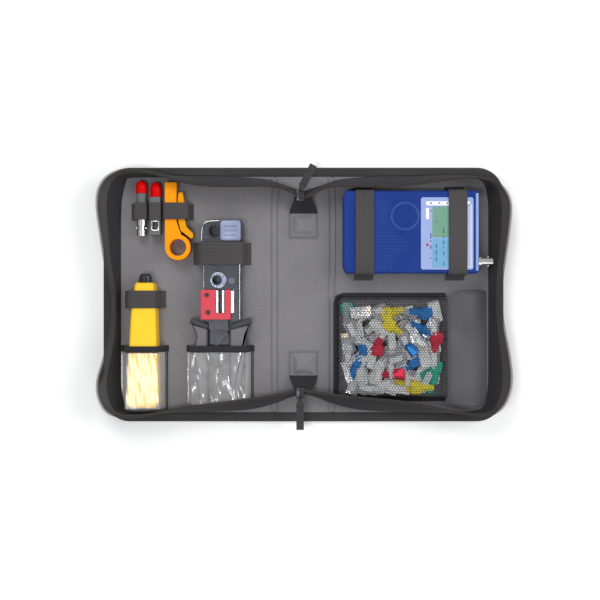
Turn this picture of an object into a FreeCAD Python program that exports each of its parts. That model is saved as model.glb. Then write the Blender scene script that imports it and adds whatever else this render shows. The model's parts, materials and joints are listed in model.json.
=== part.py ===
"""Network tool kit: a zip-around soft case, lying open, with its tools in loops and pockets.

Frame: +X to the tester's side, +Y to the top edge of the case, +Z up. The origin is under
the middle of the spine, on the surface the open case lies on. Millimetres throughout.
"""
import FreeCAD, Part
import math
import os
import re
from types import SimpleNamespace

DIMENSIONS = {
    # case
    "case_length": 465.0,
    "case_width": 294.0,
    "cover_corner": 30.0,
    "spine_half": 33.0,
    "fold_gap": 0.4,
    "lining_gap": 2.0,
    "panel_thickness": 2.4,
    "lining_thickness": 1.2,
    "webbing_width": 9.0,
    "webbing_thickness": 1.4,
    "gusset_start": 62.0,
    "gusset_height": 23.0,
    "gusset_wall": 1.6,
    "gusset_lean_out": 15.0,
    "gusset_lean_in": 3.0,
    "gusset_corner": 20.0,
    "gusset_top_corner": 28.0,
    "zip_height": 5.8,
    "zip_thickness": 2.4,
    "gusset_end_height": 20.0,
    "gusset_end_apex": 116.0,
    "patch_length": 35.0,
    "patch_width": 31.0,
    "patch_thickness": 1.4,
    "patch_start": 65.5,
    "tape_length": 18.0,
    "tape_angle": 30.0,
    "slider_length": 11.0,
    "slider_width": 9.0,
    "slider_height": 3.4,
    "slider_reach": 119.0,
    "slider_shift": -4.0,
    "tab_width": 9.0,
    "tab_thickness": 1.4,
    "top_tab_length": 33.0,
    "top_tab_angle": -28.0,
    "bottom_tab_length": 36.0,
    # elastic and pockets
    "strap_thickness": 1.3,
    "elastic_width": 19.3,
    "loop_row": 96.2,
    "loop_height": 16.9,
    "tool_clearance": 0.4,
    "vinyl_thickness": 0.8,
    "vinyl_height": 28.6,
    "pocket_bottom": -131.5,
    "pocket_mouth": -60.0,
    # probe
    "probe_bottom": -130.2,
    "probe_top": 13.5,
    "probe_height": 26.0,
    "probe_wall": 2.2,
    "probe_tip_radius": 7.5,
    "probe_button_side": 8.0,
    # crimper
    "crimper_left": -117.6,
    "crimper_right": -70.1,
    "crimper_top": 85.0,
    "crimper_corner": 9.0,
    "crimper_shoulder": -29.2,
    "crimper_base": 4.6,
    "crimper_thickness": 16.4,
    "lever_thickness": 3.2,
    "pivot_x": -82.5,
    "pivot_y": 15.8,
    "pivot_radius": 3.1,
    "die_radius": 5.0,
    "guard_height": 4.6,
    "grip_height": 15.6,
    # stripper
    "stripper_base": 4.2,
    "stripper_height": 14.4,
    "ring_x": -145.1,
    "ring_y": 54.4,
    "ring_radius": 14.6,
    "ring_hole": 9.8,
    "stripper_pin_radius": 1.6,
    # remotes
    "remote_radius": 5.8,
    "remote_cap_radius": 6.4,
    "coax_remote_x": -188.3,
    "modular_remote_x": -171.4,
    "remote_bottom": 68.0,
    # tester
    "tester_left": 45.0,
    "tester_length": 155.7,
    "tester_bottom": 24.0,
    "tester_width": 94.8,
    "tester_height": 25.0,
    "tester_wall": 2.2,
    "tester_split": 10.0,
    "label_left": 134.0,
    "label_bottom": 28.4,
    "label_length": 60.0,
    "label_width": 82.5,
    "label_thickness": 0.4,
    "coax_jack_y": 38.3,
    "coax_jack_radius": 4.8,
    "coax_jack_length": 17.5,
    "modular_jack_y": 74.0,
    "strap_width": 21.5,
    # mesh pocket and connectors
    "mesh_left": 35.7,
    "mesh_length": 130.0,
    "mesh_bottom": -123.4,
    "mesh_width": 124.3,
    "mesh_height": 22.4,
    "mesh_thickness": 0.8,
    "flap_hinge": 212.4,
    "flap_length": 46.0,
    "flap_width": 132.5,
    "flap_thickness": 1.6,
    "flap_angle": 9.0,
    "plug_length": 21.5,
    "plug_width": 11.7,
    "plug_height": 6.6,
    "boot_length": 21.2,
    "pile_pitch": 24.9,
}

doc = FreeCAD.newDocument("NetworkToolKit")


def fill_sheet():
    """Write the driving dimensions into the spreadsheet and return them as plain numbers."""
    sheet = doc.addObject("Spreadsheet::Sheet", "Sizes")
    for row, (word, number) in enumerate(DIMENSIONS.items(), start=1):
        sheet.set(f"A{row}", word)
        sheet.set(f"B{row}", str(number))
        sheet.setAlias(f"B{row}", word)
    doc.recompute()
    return SimpleNamespace(**{word: float(sheet.get(word)) for word in DIMENSIONS})


size = fill_sheet()
LINING_TOP = "(panel_thickness + lining_thickness)"
TOOL_BASE = "(panel_thickness + lining_thickness + tool_clearance)"
lining_top = size.panel_thickness + size.lining_thickness
tool_base = lining_top + size.tool_clearance
GUSSET_FOOT = lining_top + 0.3
parts = []


def formula(words):
    """Turn an expression in sheet words into one that names the sheet."""
    return re.sub(r"[a-z]+(_[a-z]+)+", lambda found: f"Sizes.{found.group(0)}", str(words))


def bind(item, **expressions):
    """Bind properties of an object to expressions in sheet words."""
    for name, words in expressions.items():
        item.setExpression(name.replace("__", "."), formula(words))


def place(item, x, y, z):
    """Bind an object's position to three expressions."""
    bind(item, Placement__Base__x=x, Placement__Base__y=y, Placement__Base__z=z)
    return item


def keep(item, label):
    """Name a finished sub-part and list it for export."""
    item.Label = label
    parts.append(item)
    return item


def box(name, spans, at):
    """A block with its lower corner at a point."""
    item = doc.addObject("Part::Box", name)
    bind(item, Length=spans[0], Width=spans[1], Height=spans[2])
    return place(item, *at)


AXES = {
    "X": FreeCAD.Rotation(FreeCAD.Vector(0, 1, 0), 90),
    "Y": FreeCAD.Rotation(FreeCAD.Vector(1, 0, 0), -90),
    "Z": FreeCAD.Rotation(),
}


def cylinder(name, radius, length, at, axis="Z"):
    """A cylinder that starts at a point and runs along an axis."""
    item = doc.addObject("Part::Cylinder", name)
    bind(item, Radius=radius, Height=length)
    item.Placement.Rotation = AXES[axis]
    return place(item, *at)


def fuse(name, *items):
    """Join solids into one."""
    item = doc.addObject("Part::MultiFuse", name)
    item.Shapes = list(items)
    item.Refine = True
    return item


def cut(name, base, *tools):
    """Take tools away from a base."""
    item = doc.addObject("Part::Cut", name)
    item.Base = base
    item.Tool = tools[0] if len(tools) == 1 else fuse(name + "_tools", *tools)
    return item


def group(name, *items):
    """Hold separate solids together as one sub-part."""
    item = doc.addObject("Part::Compound", name)
    item.Links = list(items)
    return item


def plane_of(body, role):
    """A body's own origin plane."""
    return next(f for f in body.Origin.OriginFeatures if f.Role == role)


def add_sketch(body, name, edges, offset=0.0):
    """A sketch on the body's XY plane, raised by an offset."""
    sketch = body.newObject("Sketcher::SketchObject", name)
    sketch.AttachmentSupport = (plane_of(body, "XY_Plane"), [""])
    sketch.MapMode = "FlatFace"
    sketch.AttachmentOffset = FreeCAD.Placement(FreeCAD.Vector(0, 0, offset), FreeCAD.Rotation())
    for edge in edges:
        sketch.addGeometry(edge, False)
    return sketch


def polygon(points):
    """Straight edges through points, closed."""
    corners = [FreeCAD.Vector(x, y, 0) for x, y in points]
    return [Part.LineSegment(a, b) for a, b in zip(corners, corners[1:] + corners[:1])]


def rectangle(left, right, bottom, top):
    """The corners of an upright rectangle."""
    return [(left, bottom), (right, bottom), (right, top), (left, top)]


def upright(edge):
    """Whether an edge stands along Z."""
    start, end = edge.Vertexes[0].Point, edge.Vertexes[-1].Point
    return abs(start.z - end.z) > 0.1 and math.hypot(start.x - end.x, start.y - end.y) < 1e-6


def round_edges(body, radius, chosen):
    """Fillet the edges of the body's tip that a test picks."""
    doc.recompute()
    base = body.Tip
    names = [f"Edge{i}" for i, edge in enumerate(base.Shape.Edges, start=1) if chosen(edge)]
    fillet = body.newObject("PartDesign::Fillet", body.Name + "_round")
    fillet.Base = (base, names)
    bind(fillet, Radius=radius)
    body.Tip = fillet
    return body


def prism(name, points, bottom, height, corner=None, chosen=upright):
    """A padded outline that starts at a height, with rounded upright edges if asked."""
    body = doc.addObject("PartDesign::Body", name)
    sketch = add_sketch(body, name + "_outline", polygon(points))
    pad = body.newObject("PartDesign::Pad", name + "_pad")
    pad.Profile = sketch
    sketch.Visibility = False
    bind(pad, Length=height)
    body.Tip = pad
    if corner is not None:
        round_edges(body, corner, chosen)
    return place(body, 0, 0, bottom)


def revolved(name, outline, at, axis="Y"):
    """A turned piece: (distance along the axis, radius) points, spun about the axis."""
    points = [(radius, along) for along, radius in outline]
    body = doc.addObject("PartDesign::Body", name)
    sketch = add_sketch(body, name + "_outline", polygon(points))
    turn = body.newObject("PartDesign::Revolution", name + "_turn")
    turn.Profile = sketch
    turn.ReferenceAxis = (sketch, ["V_Axis"])
    turn.Angle = 360.0
    body.Tip = turn
    if axis == "X":
        body.Placement.Rotation = FreeCAD.Rotation(FreeCAD.Vector(0, 0, 1), -90)
    return place(body, *at)


# ---------------------------------------------------------------- case

def outer_corner(edge):
    """An upright edge at a cover's free end."""
    return upright(edge) and abs(edge.Vertexes[0].Point.x) > size.case_length / 4


def cover_plate(name, side, inset, inner, bottom, height):
    """A cover-shaped plate: square at the spine, rounded at the free end."""
    far = side * (size.case_length / 2 - inset)
    half = size.case_width / 2 - inset
    points = rectangle(side * inner, far, -half, half)
    corner = f"cover_corner - {inset}" if inset else "cover_corner"
    return prism(name, points, bottom, height, corner, outer_corner)


def cover_ring(side, far, half, corner, height):
    """The outline of a gusset at one height: an open rectangle, rounded at its free end."""
    near = side * size.gusset_start
    turn = side * (far - corner)
    lean = corner * math.sqrt(0.5)
    centre = (turn, half - corner)
    top_mid = FreeCAD.Vector(turn + side * lean, centre[1] + lean, height)
    low_mid = FreeCAD.Vector(turn + side * lean, -centre[1] - lean, height)
    corners = [
        FreeCAD.Vector(near, half, height),
        FreeCAD.Vector(turn, half, height),
        FreeCAD.Vector(side * far, half - corner, height),
        FreeCAD.Vector(side * far, corner - half, height),
        FreeCAD.Vector(turn, -half, height),
        FreeCAD.Vector(near, -half, height),
    ]
    edges = [
        Part.makeLine(corners[0], corners[1]),
        Part.Arc(corners[1], top_mid, corners[2]).toShape(),
        Part.makeLine(corners[2], corners[3]),
        Part.Arc(corners[3], low_mid, corners[4]).toShape(),
        Part.makeLine(corners[4], corners[5]),
        Part.makeLine(corners[5], corners[0]),
    ]
    return Part.Wire(edges)


def leaning_wall(name, side, base, rise, wall):
    """A wall round a cover that leans out at the free end and in along the sides."""
    def ring(shift, height):
        share = (height - lining_top) / size.gusset_height
        far = size.case_length / 2 - size.webbing_width + size.gusset_lean_out * share - shift
        half = size.case_width / 2 - size.webbing_width - size.gusset_lean_in * share - shift
        corner = size.gusset_corner + (size.gusset_top_corner - size.gusset_corner) * share - shift
        return cover_ring(side, far, half, corner, height)

    outer = Part.makeLoft([ring(0, base), ring(0, base + rise)], True)
    inner = Part.makeLoft([ring(wall, base), ring(wall, base + rise)], True)
    inner.translate(FreeCAD.Vector(-side * 0.01, 0, 0))
    slab = Part.makeBox(wall * 4, size.case_width, rise + 2)
    slab.translate(FreeCAD.Vector(side * size.gusset_start - wall * 2, -size.case_width / 2, base - 1))
    item = doc.addObject("Part::Feature", name)
    item.Shape = outer.cut(inner).cut(slab).removeSplitter()
    return item


def make_cover(word, side):
    """One cover: shell, lining, binding, gusset wall and zip."""
    fold = size.spine_half + size.fold_gap
    seam = size.spine_half + size.lining_gap
    inset = size.webbing_width
    top = "panel_thickness"
    keep(cover_plate(word + "_cover_panel", side, 0, fold, 0, "panel_thickness"), word + "_cover_panel")
    keep(cover_plate(word + "_lining", side, inset, seam, top, "lining_thickness"), word + "_lining")
    band = cover_plate(word + "_band", side, 0, seam, top, "webbing_thickness")
    middle = cover_plate(word + "_middle", side, inset, seam - 1, top, "webbing_thickness")
    keep(cut(word + "_webbing", band, middle), word + "_webbing")
    wall = leaning_wall(word + "_gusset", side, GUSSET_FOOT, size.gusset_height, size.gusset_wall)
    keep(wall, word + "_gusset")
    chain_foot = GUSSET_FOOT + size.gusset_height
    chain = leaning_wall(word + "_zip", side, chain_foot, size.zip_height, size.zip_thickness)
    keep(chain, word + "_zip")


def make_spine():
    """The spine: shell, lining and the binding along its two ends."""
    half = size.spine_half - size.fold_gap
    panel = box("spine_panel", (2 * half, "case_width", "panel_thickness"), (-half, "-case_width / 2", 0))
    keep(panel, "spine_panel")
    inner = size.spine_half - 1
    lining = box(
        "spine_lining",
        (2 * inner, "case_width - 2 * webbing_width", "lining_thickness"),
        (-inner, "webbing_width - case_width / 2", "panel_thickness"),
    )
    keep(lining, "spine_lining")
    strips = [
        box(
            f"spine_band_{i}",
            (2 * inner, "webbing_width", "webbing_thickness"),
            (-inner, start, "panel_thickness"),
        )
        for i, start in enumerate(("case_width / 2 - webbing_width", "-case_width / 2"))
    ]
    keep(group("spine_webbing", *strips), "spine_webbing")


def make_gusset_ends():
    """The two soft walls that fold inwards across the spine, each a shallow V."""
    reach = size.gusset_start - 0.5
    edge = size.case_width / 2 - size.webbing_width - 1
    apex = size.gusset_end_apex
    outer = [(-reach, edge), (0, apex + 5), (reach, edge)]
    inner = [(reach, edge - 3), (0, apex), (-reach, edge - 3)]
    walls = []
    for i, sign in enumerate((1, -1)):
        points = [(x, sign * y) for x, y in outer + inner]
        walls.append(prism(f"gusset_end_{i}", points, GUSSET_FOOT, "gusset_end_height"))
    keep(group("gusset_ends", *walls), "gusset_ends")


def make_zip_ends():
    """The tapes that tie each end of the zip down to the spine, under a stitched patch."""
    patches = []
    tapes = []
    lift = size.strap_thickness * math.sin(math.radians(size.tape_angle)) + 0.2
    foot = size.patch_start + size.patch_width + lift
    for i, sign in enumerate((1, -1)):
        start = "patch_start" if sign > 0 else "-patch_start - patch_width"
        patches.append(
            box(
                f"end_patch_{i}",
                ("patch_length", "patch_width", "patch_thickness"),
                ("-patch_length / 2", start, LINING_TOP),
            )
        )
        tape = doc.addObject("Part::Box", f"end_tape_{i}")
        bind(tape, Length="patch_length", Width="tape_length", Height="strap_thickness")
        turn = FreeCAD.Rotation(FreeCAD.Vector(0, 0, 1), 0 if sign > 0 else 180)
        tilt = FreeCAD.Rotation(FreeCAD.Vector(1, 0, 0), size.tape_angle)
        corner = FreeCAD.Vector(-sign * size.patch_length / 2, sign * foot, lining_top + 0.1)
        tape.Placement = FreeCAD.Placement(corner, turn.multiply(tilt))
        tapes.append(tape)
    keep(group("zip_end_anchors", *patches, *tapes), "zip_end_anchors")


def make_zip_pulls():
    """The two sliders, parked at the ends of the zip, and their pull tabs."""
    base = f"{LINING_TOP} + gusset_end_height + 0.7"
    sliders = []
    for i, sign in enumerate((1, -1)):
        middle = "slider_reach" if sign > 0 else "-slider_reach"
        sliders.append(
            box(
                f"zip_slider_{i}",
                ("slider_width", "slider_length", "slider_height"),
                ("slider_shift - slider_width / 2", f"{middle} - slider_length / 2", base),
            )
        )
    keep(group("zip_sliders", *sliders), "zip_sliders")
    height = lining_top + size.gusset_end_height + size.slider_height + 1.1
    for word, length, turn in (
        ("top", "top_tab_length", size.top_tab_angle),
        ("bottom", "bottom_tab_length", 180.0),
    ):
        tab = doc.addObject("Part::Box", word + "_pull_tab")
        bind(tab, Length="tab_width", Width=length, Height="tab_thickness")
        rotation = FreeCAD.Rotation(FreeCAD.Vector(0, 0, 1), turn)
        shift = rotation.multVec(FreeCAD.Vector(-size.tab_width / 2, 0, 0))
        end = size.slider_reach if word == "top" else -size.slider_reach
        tab.Placement = FreeCAD.Placement(FreeCAD.Vector(size.slider_shift, end, height) + shift, rotation)
        keep(tab, word + "_pull_tab")


# ---------------------------------------------------------------- elastic and pockets

def arch(name, left, right, front, back, height, skin, open_along):
    """A strap or pouch over a tool: a shell open below and along "X" or "Y", or at its "mouth"."""
    outer = box(
        name + "_outside",
        (right - left, back - front, height),
        (left, front, LINING_TOP),
    )
    if open_along == "Y":
        inside = (left + skin, right - skin, front - 1, back + 1)
    elif open_along == "X":
        inside = (left - 1, right + 1, front + skin, back - skin)
    else:
        inside = (left + skin, right - skin, front + skin, back + 1)
    inner = box(
        name + "_inside",
        (inside[1] - inside[0], inside[3] - inside[2], f"{height} - {skin} + 1"),
        (inside[0], inside[2], f"{LINING_TOP} - 1"),
    )
    return cut(name, outer, inner)


def make_elastic():
    """The elastic loops over the remotes and stripper, and the straps over the big tools."""
    front = size.loop_row - size.elastic_width / 2
    back = size.loop_row + size.elastic_width / 2
    skin = size.strap_thickness
    edges = (-197.3, -179.9, -163.4, -131.6)
    loops = [
        arch(f"loop_{i}", left, right, front, back, "loop_height", skin, "Y")
        for i, (left, right) in enumerate(zip(edges, edges[1:]))
    ]
    keep(fuse("elastic_loops", *loops), "elastic_loops")
    over_probe = "probe_height + 2.2"
    over_crimper = "crimper_thickness + 4.6"
    probe_strap = arch("probe_strap_arch", -206.5, -162.5, -15.8, 4.5, over_probe, skin, "Y")
    crimper_strap = arch("crimper_strap_arch", -126.0, -62.6, 34.5, 60.3, over_crimper, skin, "Y")
    keep(group("tool_straps", probe_strap, crimper_strap), "tool_straps")


def make_pockets():
    """The two clear vinyl pouches, open towards the top edge."""
    low, high = size.pocket_bottom, size.pocket_mouth
    skin = size.vinyl_thickness
    over_grips = "grip_height + 4.4"
    probe = arch("probe_pocket", -212.5, -158.6, low, high, "vinyl_height", skin, "mouth")
    crimper = arch("crimper_pocket", -135.2, -58.6, low, high, over_grips, skin, "mouth")
    keep(group("vinyl_pockets", probe, crimper), "vinyl_pockets")


# ---------------------------------------------------------------- probe

PROBE_MIDDLE = (-182.4, -183.4, -184.8)
BUTTON_AT = (-183.2, -96.5)


def probe_outline(inset):
    """The probe in plan: a long taper that widens towards the battery end."""
    top = size.probe_top - inset
    bottom = size.probe_bottom + inset
    near, waist, far = PROBE_MIDDLE
    return [
        (near - 9.2 + inset, top),
        (near - 11.1 + inset, top - 3.0),
        (waist - 14.2 + inset, -17.0),
        (far - 18.6 + inset, bottom + 6.0),
        (far - 14.6 + inset, bottom),
        (far + 14.6 - inset, bottom),
        (far + 18.6 - inset, bottom + 6.0),
        (waist + 14.2 - inset, -17.0),
        (near + 11.1 - inset, top - 3.0),
        (near + 9.2 - inset, top),
    ]


def top_rim(body_height):
    """Test for the edges round the top face of a padded outline."""
    def chosen(edge):
        return all(abs(v.Point.z - body_height) < 1e-6 for v in edge.Vertexes)
    return chosen


def probe_hollow(word):
    """What is taken out of a probe shell: the space inside and the hole for the tip's neck."""
    inside = prism(
        word + "_hollow",
        probe_outline(size.probe_wall),
        f"{TOOL_BASE} + probe_wall",
        "probe_height - 2 * probe_wall",
    )
    neck_at = (PROBE_MIDDLE[0], "probe_top - 4", f"{TOOL_BASE} + probe_height / 2")
    return inside, cylinder(word + "_nose_hole", "probe_tip_radius - 2", 6, neck_at, "Y")


def make_probe():
    """The tone probe: two shells, tip, button, board and battery."""
    split = size.probe_height * 0.45
    lid_height = size.probe_height - split
    rim = top_rim(lid_height)
    lid = prism("probe_lid", probe_outline(0), f"{TOOL_BASE} + {split}", lid_height, 4.0, rim)
    tray = prism("probe_tray", probe_outline(0), TOOL_BASE, split)
    side = size.probe_button_side
    gap = 0.3
    button_x, button_y = BUTTON_AT
    window = box(
        "probe_window",
        (side + 2 * gap, side + 2 * gap, 8),
        (button_x - side / 2 - gap, button_y - side / 2 - gap, f"{TOOL_BASE} + probe_height - 5"),
    )
    keep(cut("probe_front_shell", lid, window, *probe_hollow("lid")), "probe_front_shell")
    keep(cut("probe_back_shell", tray, *probe_hollow("tray")), "probe_back_shell")
    tip = revolved(
        "probe_tip",
        [(-3.8, 0), (-3.8, 5.4), (0.1, 5.4), (0.1, 7.5), (7.5, 7.2), (10.5, 5.0), (10.5, 0)],
        (PROBE_MIDDLE[0], "probe_top", f"{TOOL_BASE} + probe_height / 2"),
    )
    keep(tip, "probe_tip")
    button = box(
        "probe_button",
        ("probe_button_side", "probe_button_side", 5.3),
        (button_x - side / 2, button_y - side / 2, f"{TOOL_BASE} + probe_height - 4.4"),
    )
    keep(button, "probe_button")
    board = box("probe_board", (16, 62, 1.6), (-190.8, -60, f"{TOOL_BASE} + 13"))
    keep(board, "probe_board")
    cell = box("probe_battery", (26.5, 48.5, 15.5), (-197.8, -123.2, f"{TOOL_BASE} + 2.6"))
    keep(cell, "probe_battery")


# ---------------------------------------------------------------- crimper

def crimper_outline():
    """The crimper's steel body in plan, with its narrow tail between the grips."""
    left, right = size.crimper_left, size.crimper_right
    top, shoulder = size.crimper_top, size.crimper_shoulder
    return [
        (left, top),
        (right, top),
        (right, 64.0),
        (right - 3.2, 60.0),
        (right - 3.2, shoulder),
        (-86.5, shoulder),
        (-86.5, -75.0),
        (-109.0, -75.0),
        (-109.0, shoulder),
        (left + 2.6, shoulder),
        (left + 2.6, 60.0),
        (left, 56.0),
    ]


def frame_arm():
    """The fixed handle's steel arm, inside its grip."""
    return [
        (-114.8, -28.6),
        (-109.5, -28.6),
        (-111.5, -60.0),
        (-112.0, -118.0),
        (-119.0, -118.0),
        (-120.0, -60.0),
    ]


def lever_plate():
    """The moving handle's steel plate, from the pivot down into its grip."""
    x, y = size.pivot_x, size.pivot_y
    return [
        (x - 9, y + 6),
        (x + 8.6, y + 6),
        (-73.0, -30.0),
        (-74.0, -118.0),
        (-81.0, -118.0),
        (-83.5, -50.0),
        (-88.0, -30.0),
    ]


def left_grip():
    """The fixed grip in plan, with its flared guard."""
    return [
        (-133.0, -30.0),
        (-110.2, -38.0),
        (-110.2, -64.0),
        (-109.5, -100.0),
        (-111.5, -126.0),
        (-120.0, -126.0),
        (-125.0, -112.0),
        (-126.6, -70.0),
        (-126.4, -50.0),
        (-131.6, -35.6),
    ]


def mirrored(points, middle):
    """Points reflected across an upright line."""
    return [(2 * middle - x, y) for x, y in points]


CRIMPER_TOP = "crimper_base + crimper_thickness"
UPPER_DIE_AT = (-102.5, 73.0)
LOWER_DIE_AT = (-100.0, 16.5)
GRIP_MIDDLE = -97.75
SCREWS_AT = ((-110.8, -0.6), (-109.4, -20.5))


def top_corner(side):
    """Test for the upright edge at one of the crimper's two top corners."""
    middle = (size.crimper_left + size.crimper_right) / 2

    def chosen(edge):
        spot = edge.Vertexes[0].Point
        return upright(edge) and spot.y > size.crimper_top - 4 and (spot.x - middle) * side > 0
    return chosen


def lever_bottom():
    """The height of the underside of the two handles' steel plates."""
    return size.crimper_base + size.crimper_thickness / 2 - size.lever_thickness / 2


def make_crimper_frame():
    """The crimper's steel body with its fixed arm, and the grip on the arm."""
    base = "crimper_base"
    deep = "crimper_thickness"
    blank = prism("crimper_blank", crimper_outline(), base, deep, 3.0, top_corner(1))
    round_edges(blank, "crimper_corner", top_corner(-1))
    slot_at = (-100.0, -66.0, lever_bottom() - 0.4)
    slot = box("lever_slot", (32, 92, "lever_thickness + 0.8"), slot_at)
    upper = cylinder("upper_die_hole", "die_radius + 2", deep, (*UPPER_DIE_AT, f"{base} + 6"))
    lower = cylinder("lower_die_hole", "die_radius", deep, (*LOWER_DIE_AT, f"{base} + 6"))
    blade_way = box("blade_way", (9.6, 27.0, 12), (-100.2, -21.0, f"{base} + 12"))
    pivot_at = ("pivot_x", "pivot_y", f"{base} - 2")
    hole = cylinder("pivot_hole", "pivot_radius + 0.04", "crimper_thickness + 4", pivot_at)
    tail = box("tail_relief", (24, 36, 12), (-109.5, -76, f"{base} + 6"))
    arm = prism("frame_arm_plate", frame_arm(), lever_bottom(), "lever_thickness")
    body = cut("crimper_body", blank, slot, upper, lower, blade_way, hole, tail)
    keep(fuse("crimper_frame", body, arm), "crimper_frame")
    rim = top_rim(size.grip_height)
    grip = prism("frame_grip_blank", left_grip(), f"{TOOL_BASE} + 0.8", "grip_height", 2.0, rim)
    room = prism("frame_arm_room", frame_arm(), lever_bottom(), "lever_thickness")
    keep(cut("frame_grip", grip, room), "frame_grip")


def make_crimper_lever():
    """The crimper's moving handle: its plate, its grip and the bolt it turns on."""
    base = "crimper_base"
    plate = prism("lever_blank", lever_plate(), lever_bottom(), "lever_thickness")
    bore = cylinder("lever_hole", "pivot_radius + 0.05", 30, ("pivot_x", "pivot_y", f"{base} - 5"))
    keep(cut("crimper_lever", plate, bore), "crimper_lever")
    outline = mirrored(left_grip(), GRIP_MIDDLE)
    rim = top_rim(size.grip_height)
    grip = prism("lever_grip_blank", outline, f"{TOOL_BASE} + 0.8", "grip_height", 2.0, rim)
    room = prism("lever_room", lever_plate(), lever_bottom(), "lever_thickness")
    keep(cut("lever_grip", grip, room), "lever_grip")
    shank_at = ("pivot_x", "pivot_y", f"{base} + 0.2")
    shank = cylinder("pivot_shank", "pivot_radius", "crimper_thickness - 0.2", shank_at)
    head = cylinder("pivot_head", "pivot_radius + 0.8", 1.4, ("pivot_x", "pivot_y", CRIMPER_TOP))
    keep(fuse("pivot_bolt", shank, head), "pivot_bolt")


def make_crimper_fittings():
    """The dies, the cutter with its guard and screws, the link and the release lever."""
    top = CRIMPER_TOP
    block = rectangle(-95.6, -72.4, 62.1, size.crimper_top)
    upper_die = prism("upper_die", block, top, 2.0, 3.0)
    ring = cylinder("lower_die_ring", 9.2, 1.2, (-98.0, LOWER_DIE_AT[1], top))
    ring_hole = cylinder("lower_die_bore", 5.6, 4, (-99.6, LOWER_DIE_AT[1], f"{top} - 1"))
    keep(group("crimper_dies", upper_die, cut("lower_die", ring, ring_hole)), "crimper_dies")
    outline = rectangle(-118.2, -83.4, -29.1, 5.4)
    guard = prism("guard_blank", outline, top, "guard_height", 1.2, top_rim(size.guard_height))
    guard_slot = box("guard_slot", (10.4, 28.0, 8), (-100.5, -21.4, f"{top} - 1"))
    holes = []
    screws = []
    for i, (x, y) in enumerate(SCREWS_AT):
        holes.append(cylinder(f"guard_hole_{i}", 1.65, 8, (x, y, f"{top} - 1")))
        stem = cylinder(f"guard_screw_stem_{i}", 1.6, "guard_height", (x, y, top))
        cap = cylinder(f"guard_screw_cap_{i}", 2.6, 0.9, (x, y, f"{top} + guard_height"))
        screws.append(fuse(f"guard_screw_{i}", stem, cap))
    keep(cut("blade_guard", guard, guard_slot, *holes), "blade_guard")
    keep(group("guard_screws", *screws), "guard_screws")
    blades = [
        box(f"cutter_blade_{i}", (2.0, 25.4, 8), (left, -20.8, "crimper_base + 12.2"))
        for i, left in enumerate((-100.0, -93.2))
    ]
    stop = box("blade_holder", (3.2, 25.0, 3.0), (-83.1, -21.0, top))
    keep(group("cutter_blades", *blades, stop), "cutter_blades")
    link = [(-116.0, 34.4), (-95.6, 26.2), (-94.6, 28.8), (-115.0, 37.2)]
    keep(prism("ratchet_link", link, top, 1.6), "ratchet_link")
    catch = [(-86.8, -45.5), (-89.0, -42.4), (-98.0, -50.6), (-107.4, -64.4), (-104.6, -66.4), (-95.2, -54.6)]
    keep(prism("release_lever", catch, "crimper_base + 8", 3.0), "release_lever")


# ---------------------------------------------------------------- stripper

def make_stripper():
    """The cable stripper: body with a finger ring and a pin, and the jaw that turns on the pin."""
    base, tall = "stripper_base", "stripper_height"
    shape = [
        (-159.9, 129.3),
        (-146.6, 129.3),
        (-146.6, 84.0),
        (-141.5, 69.5),
        (-146.0, 54.4),
        (-159.7, 54.4),
    ]
    bar = prism("stripper_bar", shape, base, tall)
    ring = cylinder("stripper_ring", "ring_radius", tall, ("ring_x", "ring_y", base))
    eye = cylinder("stripper_eye", "ring_hole", 30, ("ring_x", "ring_y", f"{base} - 5"))
    frame = cut("stripper_frame", fuse("stripper_blank", bar, ring), eye)
    pin = cylinder("stripper_pin", "stripper_pin_radius", tall, (-141.2, 96.5, base))
    foot = box("pin_foot", (9.0, 6.0, 1.2), (-147.6, 93.5, base))
    keep(fuse("stripper_body", frame, foot, pin), "stripper_body")
    jaw = [
        (-143.6, 117.6),
        (-139.6, 117.6),
        (-138.0, 106.0),
        (-137.4, 87.2),
        (-135.6, 78.4),
        (-127.6, 70.2),
        (-127.4, 66.0),
        (-130.0, 64.6),
        (-141.6, 73.6),
        (-144.4, 84.0),
        (-145.2, 104.0),
        (-144.8, 114.0),
    ]
    lever = prism("jaw_blank", jaw, f"{base} + 1.5", "stripper_height - 1.8")
    bore = cylinder("jaw_bore", "stripper_pin_radius + 0.05", 30, (-141.2, 96.5, f"{base} - 5"))
    keep(cut("stripper_lever", lever, bore), "stripper_lever")


# ---------------------------------------------------------------- remotes

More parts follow.
